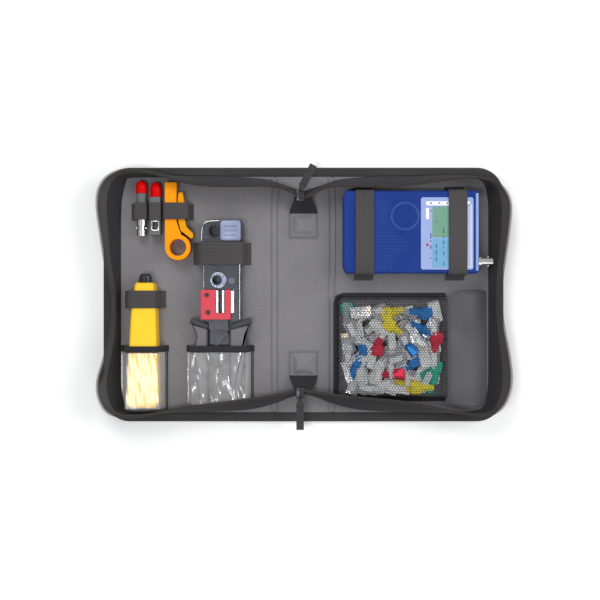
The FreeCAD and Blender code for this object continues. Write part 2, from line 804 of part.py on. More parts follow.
def make_remotes():
    """The two plug-in remote ends: one coaxial, one modular, each with a red cap."""
    z = f"{TOOL_BASE} + remote_cap_radius"
    body = [(20.4, 0), (20.4, 5.8), (49.0, 5.8), (49.0, 4.4), (61.0, 4.4), (61.0, 0)]
    keep(revolved("coax_remote_body", body, ("coax_remote_x", "remote_bottom", z)), "coax_remote_body")
    outside = [(0.0, 5.6), (6.0, 5.6), (6.0, 4.9), (12.0, 4.9), (12.0, 5.9), (20.3, 5.9)]
    jack = [(0.0, 3.6)] + outside + [(20.3, 0), (8.0, 0), (8.0, 3.6)]
    barrel = revolved("coax_remote_barrel", jack, ("coax_remote_x", "remote_bottom", z))
    lug = cylinder("coax_remote_lug", 1.0, 12.4, ("coax_remote_x - 6.2", "remote_bottom + 9", z), "X")
    slot = cylinder("coax_remote_way", 3.5, 9, ("coax_remote_x", "remote_bottom - 1", z), "Y")
    keep(cut("coax_remote_jack", fuse("coax_remote_lugs", barrel, lug), slot), "coax_remote_jack")
    cap = [(49.4, 4.5), (49.4, 6.4), (58.0, 6.4), (62.6, 4.8), (63.6, 2.6), (63.6, 0), (61.4, 0), (61.4, 4.5)]
    keep(revolved("coax_remote_cap", cap, ("coax_remote_x", "remote_bottom", z)), "coax_remote_cap")
    left = "modular_remote_x - remote_radius"
    core = box("modular_core", (11.6, 43.6, 11.6), (left, "remote_bottom + 1", f"{TOOL_BASE} + 0.6"))
    well_at = ("modular_remote_x - 3.2", "remote_bottom + 7", f"{TOOL_BASE} + 6")
    well = box("modular_well", (6.4, 9.0, 8), well_at)
    neck_at = ("modular_remote_x - 4.2", "remote_bottom + 44.6", f"{TOOL_BASE} + 2.2")
    neck = box("modular_neck", (8.4, 12.0, 8.4), neck_at)
    keep(cut("modular_remote_body", fuse("modular_blank", core, neck), well), "modular_remote_body")
    outside = [(45.0, 6.4), (56.0, 6.4), (61.0, 4.6), (61.6, 2.6), (61.6, 0)]
    sleeve = [(45.0, 6.0)] + outside + [(57.0, 0), (57.0, 6.0)]
    rubber = revolved("modular_remote_cap", sleeve, ("modular_remote_x", "remote_bottom", z))
    keep(rubber, "modular_remote_cap")


# ---------------------------------------------------------------- tester

def tester_outline(inset):
    """The tester in plan: rounded at the left end, square at the right."""
    left = size.tester_left + inset
    right = size.tester_left + size.tester_length - inset
    low = size.tester_bottom + inset
    high = size.tester_bottom + size.tester_width - inset
    return [
        (left, low + 7.0),
        (left + 3.5, low),
        (right - 2.0, low),
        (right, low + 3.0),
        (right, high - 3.0),
        (right - 2.0, high),
        (left + 3.5, high),
        (left, high - 7.0),
    ]


def tester_openings(word, right, jack_z):
    """What is taken out of a tester shell: the space inside and the ways for the two jacks."""
    hollow = prism(
        word + "_hollow",
        tester_outline(size.tester_wall),
        f"{TOOL_BASE} + tester_wall",
        "tester_height - 2 * tester_wall",
    )
    port = box(word + "_port", (6, 15.2, 12.2), (right - 5, "modular_jack_y - 7.6", f"{TOOL_BASE} + 5.9"))
    coax = cylinder(word + "_coax_hole", "coax_jack_radius + 0.3", 8, (right - 6, "coax_jack_y", jack_z), "X")
    return hollow, port, coax


def make_tester():
    """The cable tester: two shells, label, jacks, board and battery."""
    right = size.tester_left + size.tester_length
    jack_z = f"{TOOL_BASE} + 12"
    lid_height = size.tester_height - size.tester_split
    rim = top_rim(lid_height)
    lid = prism("tester_lid", tester_outline(0), f"{TOOL_BASE} + tester_split", lid_height, 3.0, rim)
    tray = prism("tester_tray", tester_outline(0.6), TOOL_BASE, "tester_split - 0.02")
    keep(cut("tester_top_shell", lid, *tester_openings("lid", right, jack_z)), "tester_top_shell")
    keep(cut("tester_bottom_shell", tray, *tester_openings("tray", right, jack_z)), "tester_bottom_shell")
    left, low = size.label_left, size.label_bottom
    outline = rectangle(left, left + size.label_length, low, low + size.label_width)
    label = prism("tester_label", outline, f"{TOOL_BASE} + tester_height", "label_thickness", 2.5)
    keep(label, "tester_label")
    stub_at = (right - 5, "coax_jack_y", jack_z)
    stub = cylinder("coax_stub", "coax_jack_radius", "coax_jack_length + 5", stub_at, "X")
    collar = cylinder("coax_collar", "coax_jack_radius + 1.8", 4.0, (right + 0.1, "coax_jack_y", jack_z), "X")
    pin_way = cylinder("coax_pin_way", 3.3, 10, (right + 8.6, "coax_jack_y", jack_z), "X")
    lugs = cylinder("coax_lugs", 1.1, 12.2, (right + 12.4, "coax_jack_y - 6.1", jack_z), "Y")
    keep(cut("tester_coax_jack", fuse("coax_solid", stub, collar, lugs), pin_way), "tester_coax_jack")
    housing_at = (right - 16.2, "modular_jack_y - 7.5", f"{TOOL_BASE} + 6")
    housing = box("port_housing", (16.0, 15.0, 12.0), housing_at)
    mouth = box("port_mouth", (14.0, 11.8, 8.4), (right - 13.2, "modular_jack_y - 5.9", f"{TOOL_BASE} + 7.6"))
    keep(cut("tester_modular_jack", housing, mouth), "tester_modular_jack")
    keep(box("tester_board", (118, 82, 1.6), (62.0, 30.4, f"{TOOL_BASE} + 4.1")), "tester_board")
    keep(box("tester_battery", (48.5, 26.5, 15.0), (70.0, 82.0, f"{TOOL_BASE} + 6.0")), "tester_battery")


def make_tester_straps():
    """The two webbing straps that hold the tester."""
    tall, skin = "tester_height + 2.4", size.strap_thickness
    straps = [
        arch(f"tester_strap_{i}", left, left + size.strap_width, 20.6, 122.2, tall, skin, "X")
        for i, left in enumerate((59.2, 165.6))
    ]
    keep(group("tester_straps", *straps), "tester_straps")


# ---------------------------------------------------------------- mesh pocket

def make_mesh_pocket():
    """The mesh pouch, open to the right, and the flap that closes it."""
    spans = ("mesh_length", "mesh_width", "mesh_height")
    outer = box("mesh_outside", spans, ("mesh_left", "mesh_bottom", LINING_TOP))
    inner = box(
        "mesh_inside",
        ("mesh_length", "mesh_width - 2 * mesh_thickness", "mesh_height - mesh_thickness + 1"),
        ("mesh_left + mesh_thickness", "mesh_bottom + mesh_thickness", f"{LINING_TOP} - 1"),
    )
    keep(cut("mesh_pocket", outer, inner), "mesh_pocket")
    flap = doc.addObject("Part::Box", "pocket_flap")
    bind(flap, Length="flap_length", Width="flap_width", Height="flap_thickness")
    tilt = FreeCAD.Rotation(FreeCAD.Vector(0, 1, 0), 180 + size.flap_angle)
    hinge = FreeCAD.Vector(size.flap_hinge, -129.0, lining_top + 0.9 + size.flap_thickness)
    flap.Placement = FreeCAD.Placement(hinge, tilt)
    keep(flap, "pocket_flap")


def plug_solid():
    """A modular plug about its own middle: body, shoulder and latch."""
    half = size.plug_length / 2
    wide = size.plug_width / 2
    body = Part.makeBox(size.plug_length, size.plug_width, size.plug_height)
    body.translate(FreeCAD.Vector(-half, -wide, 0))
    throat = Part.makeBox(6.0, 7.4, 3.4)
    throat.translate(FreeCAD.Vector(-half - 0.1, -3.7, 1.6))
    latch = Part.makeBox(14.0, 5.8, 1.1)
    latch.translate(FreeCAD.Vector(-half + 5.4, -2.9, size.plug_height - 0.02))
    teeth = []
    for i in range(8):
        groove = Part.makeBox(5.0, 0.5, 1.2)
        groove.translate(FreeCAD.Vector(half - 5.2, -4.1 + i * 1.1, -0.1))
        teeth.append(groove)
    return body.fuse(latch).cut(throat).cut(Part.makeCompound(teeth)).removeSplitter()


def boot_solid():
    """A strain-relief boot about its own middle: a square collar and a ribbed tail."""
    half = size.boot_length / 2
    collar_length = 10.0
    axis_height = 4.0
    along = FreeCAD.Vector(1, 0, 0)

    def start(distance):
        return FreeCAD.Vector(distance - half, 0, axis_height)

    collar = Part.makeBox(collar_length, size.plug_width, 2 * axis_height)
    collar.translate(FreeCAD.Vector(-half, -size.plug_width / 2, 0))
    tail = Part.makeCone(4.0, 2.9, size.boot_length - collar_length, start(collar_length), along)
    ribs = [Part.makeCylinder(4.2 - 0.25 * i, 1.2, start(12.0 + 3.2 * i), along) for i in range(3)]
    bore = Part.makeCylinder(2.2, size.boot_length + 2, start(-1), along)
    return collar.fuse([tail] + ribs).cut(bore).removeSplitter()


BOOT_COLOURS = {
    "blue_boots": ((4, 1, 1), (0, 3, 1), (4, 3, 1), (2, 2, 0)),
    "red_boots": ((4, 2, 1), (2, 2, 1), (2, 4, 1)),
    "yellow_boots": ((2, 1, 1), (3, 4, 1)),
    "green_boots": ((0, 0, 1), (4, 4, 1)),
}

EMPTY_CELL = (4, 0)
CELLS = 5
LAYERS = 2
LAYER_RISE = 9.8
GOLDEN_TURN = 137.5


def make_connectors():
    """The loose plugs and boots in the mesh pouch, in two layers on a shaken grid."""
    colours = {cell: word for word, cells in BOOT_COLOURS.items() for cell in cells}
    groups = {"modular_plugs": []}
    pitch = size.pile_pitch
    for layer in range(LAYERS):
        for column in range(CELLS):
            for row in range(CELLS):
                if (column, row) == EMPTY_CELL:
                    continue
                count = (layer * CELLS + column) * CELLS + row
                word = colours.get((column, row, layer), "modular_plugs")
                shape = boot_solid() if word in BOOT_COLOURS else plug_solid()
                heading = (count * GOLDEN_TURN) % 360
                tip = 4.0 * math.sin(count * 2.4)
                spin = FreeCAD.Rotation(heading, tip, 0)
                x = size.mesh_left + 15.4 + column * pitch
                y = size.mesh_bottom + size.mesh_width - 13.5 - row * (pitch - 0.6)
                z = tool_base + 0.9 + layer * LAYER_RISE
                shape.Placement = FreeCAD.Placement(FreeCAD.Vector(x, y, z), spin)
                groups.setdefault(word, []).append(shape)
    for word, shapes in groups.items():
        item = doc.addObject("Part::Feature", word)
        item.Shape = Part.makeCompound(shapes)
        keep(item, word)


def check_and_export():
    """Stop on any failed object, then write every sub-part."""
    doc.recompute()
    for item in doc.Objects:
        bad = {"Invalid", "Error"} & set(item.State)
        if bad:
            raise RuntimeError(f"{item.Label} is {bad}")
    os.makedirs("parts", exist_ok=True)
    for item in parts:
        shape = item.Shape
        if shape.isNull() or not shape.isValid() or not shape.Solids:
            raise RuntimeError(f"{item.Label} has no valid shape")
        shape.exportStep(f"parts/{item.Label}.step")
        print(f"{item.Label:24s} solids {len(shape.Solids):3d} volume {shape.Volume:12.1f}")


make_spine()
make_gusset_ends()
make_zip_ends()
make_zip_pulls()
make_cover("left", -1)
make_cover("right", 1)
make_elastic()
make_pockets()
make_probe()
make_crimper_frame()
make_crimper_lever()
make_crimper_fittings()
make_stripper()
make_remotes()
make_tester()
make_tester_straps()
make_mesh_pocket()
make_connectors()
check_and_export()
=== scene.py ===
"""The looks of a network tool kit: a soft zip case lying open, with its tools in loops and pouches."""
import json
import logging
import math
import random
from collections.abc import Callable, Iterable, Sequence
from dataclasses import dataclass, field
from enum import Enum
from itertools import product

import bmesh
import bpy
from mathutils import Matrix, Vector


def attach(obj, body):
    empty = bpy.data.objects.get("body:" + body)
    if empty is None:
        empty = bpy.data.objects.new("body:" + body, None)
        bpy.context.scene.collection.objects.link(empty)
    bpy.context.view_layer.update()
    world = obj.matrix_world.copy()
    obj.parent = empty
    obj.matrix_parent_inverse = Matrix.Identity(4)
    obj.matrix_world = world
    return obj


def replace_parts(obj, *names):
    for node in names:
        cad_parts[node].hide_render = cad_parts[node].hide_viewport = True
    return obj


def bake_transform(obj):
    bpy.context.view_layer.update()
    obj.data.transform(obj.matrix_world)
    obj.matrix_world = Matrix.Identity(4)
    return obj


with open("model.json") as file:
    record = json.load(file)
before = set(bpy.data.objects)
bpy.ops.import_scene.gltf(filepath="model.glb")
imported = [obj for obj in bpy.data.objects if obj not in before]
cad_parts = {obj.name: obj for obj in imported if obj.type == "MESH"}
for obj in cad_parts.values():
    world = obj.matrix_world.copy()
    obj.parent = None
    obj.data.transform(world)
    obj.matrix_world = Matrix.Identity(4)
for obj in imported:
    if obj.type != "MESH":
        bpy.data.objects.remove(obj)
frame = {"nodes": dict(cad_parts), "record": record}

Socket = bpy.types.NodeSocket
Material = bpy.types.Material
Shape = bmesh.types.BMesh
Solid = bpy.types.Object
Triple = tuple[float, float, float]
Colour = Triple
Spot = tuple[float, float]

LOG = logging.getLogger("tool_kit")
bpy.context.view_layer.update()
MM = 0.001
UP = Vector((0, 0, 1))
SEED = 11
SHARP_ANGLE = math.radians(38)
BEVEL_ANGLE = math.radians(40)
TINY = 1e-7
LINING_TOP = 3.6
COVER_MIDDLE = 0.125
QUARTER = math.pi / 2
ENDS = ((1, "top"), (-1, "bottom"))


def smooth(t: float) -> float:
    """Ease a share from 0 to 1, level at both ends."""
    t = min(max(t, 0.0), 1.0)
    return t * t * (3 - 2 * t)


def lerp(a: float, b: float, t: float) -> float:
    """The value a share of the way from one number to another."""
    return a + (b - a) * t


# ------------------------------------------------------------------ finishes


class Weave(Enum):
    """How a woven band is made."""

    PLAIN = "plain"
    RIBBED = "ribbed"


class Source(Enum):
    """What a pattern is laid out on."""

    OBJECT = "Object"
    PATH = "path"


class Nodes:
    """Builds one material's node tree."""

    def __init__(self, name: str) -> None:
        """Start a material with its shader.

        Args:
            name: The material's name.
        """
        self.material = bpy.data.materials.new(name)
        self.material.use_nodes = True
        self.tree = self.material.node_tree
        self.shader = self.tree.nodes["Principled BSDF"]

    def add(self, kind: str, inputs: dict | None = None, **settings: object) -> bpy.types.Node:
        """Add a node, with its settings and its unlinked inputs.

        Args:
            kind: The node's type.
            inputs: Values or sockets, by input name.
            settings: Plain settings, by attribute name.

        Returns:
            The node.
        """
        node = self.tree.nodes.new(kind)
        for name, value in settings.items():
            setattr(node, name, value)
        for name, value in (inputs or {}).items():
            if isinstance(value, Socket):
                self.tree.links.new(value, node.inputs[name])
            else:
                node.inputs[name].default_value = value
        return node

    def place(self, source: Source, scale: Sequence[float] = (1, 1, 1), turn: float = 0.0) -> Socket:
        """Coordinates to lay a pattern on, in metres times a scale.

        Args:
            source: What the pattern is laid out on.
            scale: The pattern's scale along each axis.
            turn: The pattern's turn about Z, in radians.

        Returns:
            The coordinates.
        """
        if source is Source.OBJECT:
            raw = self.add("ShaderNodeTexCoord").outputs["Object"]
        else:
            raw = self.add("ShaderNodeUVMap", uv_map="path").outputs["UV"]
        mapping = self.add("ShaderNodeMapping", {"Vector": raw, "Scale": scale, "Rotation": (0, 0, turn)})
        return mapping.outputs["Vector"]

    def noise(self, vector: Socket, scale: float, detail: float = 4.0) -> Socket:
        """A cloudy pattern, 0 to 1."""
        node = self.add("ShaderNodeTexNoise", {"Vector": vector, "Scale": scale, "Detail": detail})
        return node.outputs["Fac"]

    def cells(self, vector: Socket, scale: float) -> Socket:
        """A pebbled pattern: the distance from each cell's middle."""
        node = self.add("ShaderNodeTexVoronoi", {"Vector": vector, "Scale": scale, "Randomness": 0.9})
        return node.outputs["Distance"]

    def bands(self, vector: Socket, scale: float, direction: str) -> Socket:
        """Even stripes across one direction, 0 to 1."""
        node = self.add("ShaderNodeTexWave", {"Vector": vector, "Scale": scale}, bands_direction=direction)
        return node.outputs["Fac"]

    def maths(self, operation: str, a: object, b: object = 0.0) -> Socket:
        """One sum on two values or sockets.

        Args:
            operation: The sum's name.
            a: The first value.
            b: The second value.

        Returns:
            The result.
        """
        node = self.add("ShaderNodeMath", operation=operation)
        for socket, value in zip(node.inputs, (a, b)):
            if isinstance(value, Socket):
                self.tree.links.new(value, socket)
            else:
                socket.default_value = value
        return node.outputs[0]

    def mixed(self, a: Socket, share_a: float, b: Socket, share_b: float) -> Socket:
        """Two patterns added together, each in its share."""
        return self.maths("ADD", self.maths("MULTIPLY", a, share_a), self.maths("MULTIPLY", b, share_b))

    def ramp(self, factor: Socket, stops: Sequence[tuple[float, Sequence[float]]]) -> Socket:
        """Colours along a factor.

        Args:
            factor: The factor, 0 to 1.
            stops: (place, colour) pairs.

        Returns:
            The colour.
        """
        node = self.add("ShaderNodeValToRGB", {"Fac": factor})
        band = node.color_ramp
        while len(band.elements) < len(stops):
            band.elements.new(0.5)
        for element, (place, colour) in zip(band.elements, stops):
            element.position = place
            element.color = (*colour, 1.0)
        return node.outputs["Color"]

    def tint(self, factor: Socket, colour: Sequence[float], spread: float) -> Socket:
        """A colour made darker and lighter by a factor.

        Args:
            factor: The factor, 0 to 1.
            colour: The middle colour.
            spread: How far it goes darker and lighter.

        Returns:
            The colour.
        """
        dark = [c * (1 - spread) for c in colour]
        light = [min(c * (1 + spread), 1.0) for c in colour]
        return self.ramp(factor, ((0.25, dark), (0.75, light)))

    def finish(self, colour: Socket, height: Socket | None = None, depth: float = 0.0002,
               strength: float = 0.6, rough: Socket | None = None, **values: object) -> Material:
        """Join colour, bump and roughness to the shader.

        Args:
            colour: The surface colour.
            height: The bump's height, 0 to 1.
            depth: How deep the bump is, in metres.
            strength: How strongly it shows.
            rough: A roughness pattern.
            values: Plain shader values, by socket name with _ for a space.

        Returns:
            The finished material.
        """
        link = self.tree.links.new
        link(colour, self.shader.inputs["Base Color"])
        if height is not None:
            bump = self.add("ShaderNodeBump", {"Height": height, "Strength": strength, "Distance": depth})
            link(bump.outputs["Normal"], self.shader.inputs["Normal"])
        if rough is not None:
            link(rough, self.shader.inputs["Roughness"])
        for name, value in values.items():
            self.shader.inputs[name.replace("_", " ")].default_value = value
        return self.material

    def spread(self, factor: Socket, low: float, high: float) -> Socket:
        """Map a factor onto a range."""
        node = self.add("ShaderNodeMapRange", {"Value": factor, "To Min": low, "To Max": high})
        return node.outputs["Result"]


@dataclass(frozen=True)
class Leatherette:
    """Grained coated cloth."""

    name: str
    colour: Colour
    grain: float = 0.0013
    roughness: float = 0.52

    def build(self) -> Material:
        """Make the material.

        Returns:
            The finished material.
        """
        n = Nodes(self.name)
        at = n.place(Source.OBJECT)
        pebble = n.cells(at, 1 / self.grain)
        fine = n.noise(at, 2.2 / self.grain, 3)
        cloud = n.noise(at, 14, 5)
        speck = n.noise(at, 420, 2)
        height = n.mixed(pebble, 0.8, fine, 0.3)
        mix = n.mixed(cloud, 0.6, speck, 0.4)
        colour = n.tint(mix, self.colour, 0.16)
        rough = n.spread(fine, self.roughness - 0.08, self.roughness + 0.12)
        return n.finish(colour, height, 0.00022, 0.7, rough, Specular_IOR_Level=0.22)


@dataclass(frozen=True)
class Woven:
    """Webbing, elastic or bag cloth."""

    name: str
    colour: Colour
    thread: float = 0.0008
    weave: Weave = Weave.PLAIN
    source: Source = Source.PATH
    roughness: float = 0.85

    def build(self) -> Material:
        """Make the material.

        Returns:
            The finished material.
        """
        n = Nodes(self.name)
        at = n.place(self.source)
        scale = math.tau / 20 / self.thread
        along = n.bands(at, scale, "X")
        across = n.bands(at, scale * (0.55 if self.weave is Weave.RIBBED else 1.0), "Y")
        share = 0.35 if self.weave is Weave.RIBBED else 0.5
        cross = n.mixed(along, share, across, 1 - share)
        fuzz = n.noise(at, 1.6 / self.thread, 3)
        wear = n.noise(at, 22, 4)
        height = n.mixed(cross, 0.75, fuzz, 0.25)
        tone = n.mixed(height, 0.6, wear, 0.4)
        return n.finish(n.tint(tone, self.colour, 0.4), height, self.thread * 0.35, 0.8,
                        n.spread(fuzz, self.roughness - 0.1, min(self.roughness + 0.1, 1.0)),
                        Specular_IOR_Level=0.12, Sheen_Weight=0.05, Sheen_Roughness=0.5)


@dataclass(frozen=True)
class Moulded:
    """Injection-moulded plastic or rubber."""

    name: str
    colour: Colour
    roughness: float = 0.34
    texture: float = 0.00004
    spread: float = 0.07
    coat: float = 0.0

    def build(self) -> Material:
        """Make the material.

        Returns:
            The finished material.
        """
        n = Nodes(self.name)
        at = n.place(Source.OBJECT)
        spark = n.noise(at, 1700, 2)
        cloud = n.noise(at, 26, 4)
        scuff = n.noise(n.place(Source.OBJECT, (1, 6, 3), 0.5), 130, 5)
        rough = n.spread(n.mixed(cloud, 0.5, scuff, 0.5),
                         max(self.roughness - 0.1, 0.05), self.roughness + 0.14)
        return n.finish(n.tint(cloud, self.colour, self.spread), spark, self.texture, 0.5, rough,
                        Specular_IOR_Level=0.1, Coat_Weight=self.coat, Coat_Roughness=0.1)


@dataclass(frozen=True)
class Metal:
    """Plated, ground or blackened steel."""

    name: str
    colour: Colour
    roughness: float = 0.3
    metallic: float = 1.0
    grain: float = 700.0

    def build(self) -> Material:
        """Make the material.

        Returns:
            The finished material.
        """
        n = Nodes(self.name)
        brushed = n.noise(n.place(Source.OBJECT, (1, 0.08, 1)), self.grain, 4)
        cloud = n.noise(n.place(Source.OBJECT), 45, 5)
        rough = n.spread(n.mixed(brushed, 0.6, cloud, 0.4),
                         self.roughness - 0.1, self.roughness + 0.18)
        return n.finish(n.tint(cloud, self.colour, 0.18), brushed, 0.00004, 0.35, rough,
                        Metallic=self.metallic, Specular_IOR_Level=0.5)


@dataclass(frozen=True)
class Clear:
    """Clear vinyl or polycarbonate: mostly see-through, with haze and gloss."""

    name: str
    colour: Colour
    alpha: float
    roughness: float
    wrinkle: float

    def build(self) -> Material:
        """Make the material.

        Returns:
            The finished material.
        """
        n = Nodes(self.name)
        at = n.place(Source.OBJECT)
        ripple = n.noise(at, 45, 4)
        haze = n.noise(at, 90, 4)
        rough = n.spread(haze, self.roughness - 0.06, self.roughness + 0.12)
        weight = n.add("ShaderNodeLayerWeight", {"Blend": 0.35}).outputs["Facing"]
        base = n.spread(haze, self.alpha - 0.08, self.alpha + 0.08)
        alpha = n.maths("ADD", base, n.maths("MULTIPLY", weight, 0.5))
        n.tree.links.new(alpha, n.shader.inputs["Alpha"])
        return n.finish(n.tint(haze, self.colour, 0.05), ripple, self.wrinkle, 0.35, rough,
                        Specular_IOR_Level=1.0, Coat_Weight=0.6, Coat_Roughness=0.06)


LINING_GREY = (0.178, 0.173, 0.183)

FINISHES = {finish.name: finish for finish in (
    Leatherette("outer_leatherette", (0.030, 0.030, 0.032), 0.0016),
    Leatherette("lining", LINING_GREY),
    Leatherette("patch_leatherette", (0.165, 0.162, 0.176), 0.0012, 0.36),
    Leatherette("flap_leatherette", (0.082, 0.082, 0.087), 0.0012, 0.45),
    Woven("binding", (0.048, 0.047, 0.048), 0.0011),
    Woven("gusset_fabric", (0.028, 0.027, 0.029), 0.0007),
    Woven("zip_tape", (0.06, 0.056, 0.053), 0.0008),
    Moulded("zip_coil", (0.05, 0.045, 0.042), 0.45),
    Woven("elastic", (0.063, 0.058, 0.059), 0.0009, Weave.RIBBED),
    Woven("pocket_binding", (0.028, 0.028, 0.03), 0.0009),
    Woven("mesh", (0.03, 0.03, 0.032), 0.0006, source=Source.OBJECT),
    Metal("slider_metal", (0.06, 0.06, 0.062), 0.35, 0.8),
    Woven("thread", (0.05, 0.05, 0.05), 0.0004, source=Source.OBJECT),
    Woven("light_thread", (0.3, 0.3, 0.3), 0.0004, source=Source.OBJECT),
    Clear("clear_vinyl", (0.92, 0.92, 0.92), 0.18, 0.08, 0.0002),
    Clear("clear_plastic", (0.93, 0.95, 0.96), 0.72, 0.1, 0.0001),
    # A darker copy of the clear plastic for plugs in painted shade.
    Clear("shaded_plastic", (0.55, 0.55, 0.6), 0.5, 0.12, 0.0001),
    Moulded("yellow_plastic", (0.92, 0.56, 0.025), 0.36),
    Moulded("black_tip", (0.03, 0.03, 0.033), 0.2, coat=0.5),
    Moulded("orange_button", (0.85, 0.42, 0.08), 0.5),
    Moulded("circuit_board", (0.03, 0.2, 0.07), 0.35),
    Metal("cell_case", (0.12, 0.12, 0.14), 0.35, 0.8),
    Metal("dark_steel", (0.04, 0.043, 0.054), 0.36, 0.45),
    # Bright steel for lit edges and rims: painted highlight.
    Metal("steel_edge_highlight", (0.55, 0.57, 0.6), 0.25),
    # Lighter grey for the crimper grips' lit tops: painted light.
    Moulded("grip_lit_top", (0.15, 0.145, 0.155), 0.45, 0.0001),
    # Lighter blue for the tester's ribs and round rim: painted highlight.
    Moulded("blue_rib_highlight", (0.045, 0.1, 0.34), 0.32),
    Moulded("black_grip", (0.058, 0.058, 0.061), 0.34, 0.00012),
    Metal("bolt_steel", (0.1, 0.1, 0.11), 0.35, 0.7),
    Metal("screw_black", (0.07, 0.035, 0.04), 0.4, 0.3),
    Metal("die_metal", (0.25, 0.28, 0.42), 0.42, 0.4),
    Moulded("red_plastic", (0.59, 0.055, 0.083), 0.32, coat=0.1),
    Metal("white_blade", (0.85, 0.86, 0.84), 0.3, 0.6),
    Moulded("orange_plastic", (0.9, 0.29, 0.001), 0.4),
    Moulded("amber_plastic", (0.72, 0.3, 0.001), 0.45),
    Moulded("remote_grey", (0.13, 0.135, 0.142), 0.45),
    Metal("plated_metal", (0.75, 0.74, 0.7), 0.22),
    Metal("gilt_metal", (0.72, 0.56, 0.38), 0.25),
    Moulded("red_rubber", (0.64, 0.001, 0.001), 0.34),
    Moulded("blue_plastic", (0.012, 0.038, 0.21), 0.38),
    Moulded("label_film", (0.3, 0.37, 0.64), 0.3),
    Moulded("label_white", (0.86, 0.86, 0.9), 0.4),
    Moulded("label_cyan", (0.165, 0.365, 0.56), 0.4),
    Moulded("label_green", (0.155, 0.31, 0.227), 0.4),
    Moulded("label_pale", (0.5, 0.55, 0.7), 0.4),
    Moulded("label_ink", (0.06, 0.1, 0.2), 0.4),
    # Pale blue for the tester's lit end bevel: painted light.
    Moulded("tester_bevel_highlight", (0.26, 0.34, 0.62), 0.3),
    # Darker die metal for the upper die's grooves: painted shade.
    Metal("die_groove_shadow", (0.16, 0.19, 0.32), 0.4, 0.4),
    Moulded("socket_black", (0.02, 0.02, 0.02), 0.4),
    Moulded("blue_boot", (0.03, 0.2, 0.55), 0.35),
    Moulded("red_boot", (0.62, 0.03, 0.07), 0.35),
    Moulded("yellow_boot", (0.78, 0.66, 0.06), 0.35),
    Moulded("green_boot", (0.04, 0.42, 0.3), 0.35),
)}
SLOT_OF = {finish: slot for slot, finishes in {
    "lining": ("patch_leatherette", "flap_leatherette"),
    "zip_tape": ("zip_coil",),
    "binding": ("pocket_binding", "thread", "light_thread"),
    "bolt_steel": ("steel_edge_highlight",),
    "plated_metal": ("gilt_metal",),
    "clear_plastic": ("shaded_plastic",),
    "black_grip": ("grip_lit_top",),
    "blue_plastic": ("blue_rib_highlight", "tester_bevel_highlight"),
    "label_film": ("label_white", "label_cyan", "label_green", "label_pale", "label_ink"),
    "die_metal": ("die_groove_shadow",),
}.items() for finish in finishes}


class Wardrobe:
    """Builds each finish once and hands it out by name."""

    def __init__(self) -> None:
        """Start empty."""
        self.made: dict[str, Material] = {}

    def get(self, name: str) -> Material:
        """The material of a finish."""
        if name not in self.made:
            self.made[name] = FINISHES[name].build()
        return self.made[name]

    def dress_nodes(self) -> None:
        """Give every CAD node its own finish, by its material slot."""
        slots = {part["node"]: part["material_slot"] for part in frame["record"]["subparts"]}
        for node, obj in frame["nodes"].items():
            material = self.get(slots[node])
            for slot in obj.material_slots:
                slot.material = material
            if not obj.material_slots:
                obj.data.materials.append(material)


WARDROBE = Wardrobe()

# ------------------------------------------------------------------ making meshes


def stand(name: str, bm: Shape) -> Solid:
    """Put a shape in the scene as an object at the origin, and free it.

    Args:
        name: The piece's name.
        bm: The shape.

    Returns:
        The new object.
    """
    mesh = bpy.data.meshes.new(name)
    bm.to_mesh(mesh)
    bm.free()
    obj = bpy.data.objects.new(name, mesh)
    bpy.context.scene.collection.objects.link(obj)
    return obj


def round_off(bm: Shape, edges: Sequence[bmesh.types.BMEdge], width: float, segments: int = 2) -> None:
    """Round some edges of a shape."""
    bmesh.ops.bevel(bm, geom=edges, offset=width, segments=segments, profile=0.5, affect="EDGES", material=-1,
                    clamp_overlap=True)


def seated(bm: Shape, at: Vector, turn: Matrix | None, into: Shape | None) -> Shape:
    """Turn a shape about the origin, move it to a point and add it to another.

    Args:
        bm: The shape.
        at: Its middle.
        turn: How it is turned about its middle.
        into: The shape to add it to, if any.

    Returns:
        The shape, or the one that it was added to.
    """
    matrix = Matrix.Translation(at) @ (turn or Matrix.Identity(4))
    bmesh.ops.transform(bm, matrix=matrix, verts=bm.verts)
    return merge(into, bm)


def facing(way: Vector, axis: str = "X", up: str = "Z") -> Matrix:
    """The turn that points an axis along a way."""
    return way.normalized().to_track_quat(axis, up).to_matrix().to_4x4()


def settle(obj: Solid) -> None:
    """Apply a piece's modifiers to its mesh.

    Args:
        obj: The piece.
    """
    bpy.context.view_layer.update()
    evaluated = obj.evaluated_get(bpy.context.evaluated_depsgraph_get())
    mesh = bpy.data.meshes.new_from_object(evaluated)
    obj.modifiers.clear()
    old = obj.data
    obj.data = mesh
    bpy.data.meshes.remove(old)


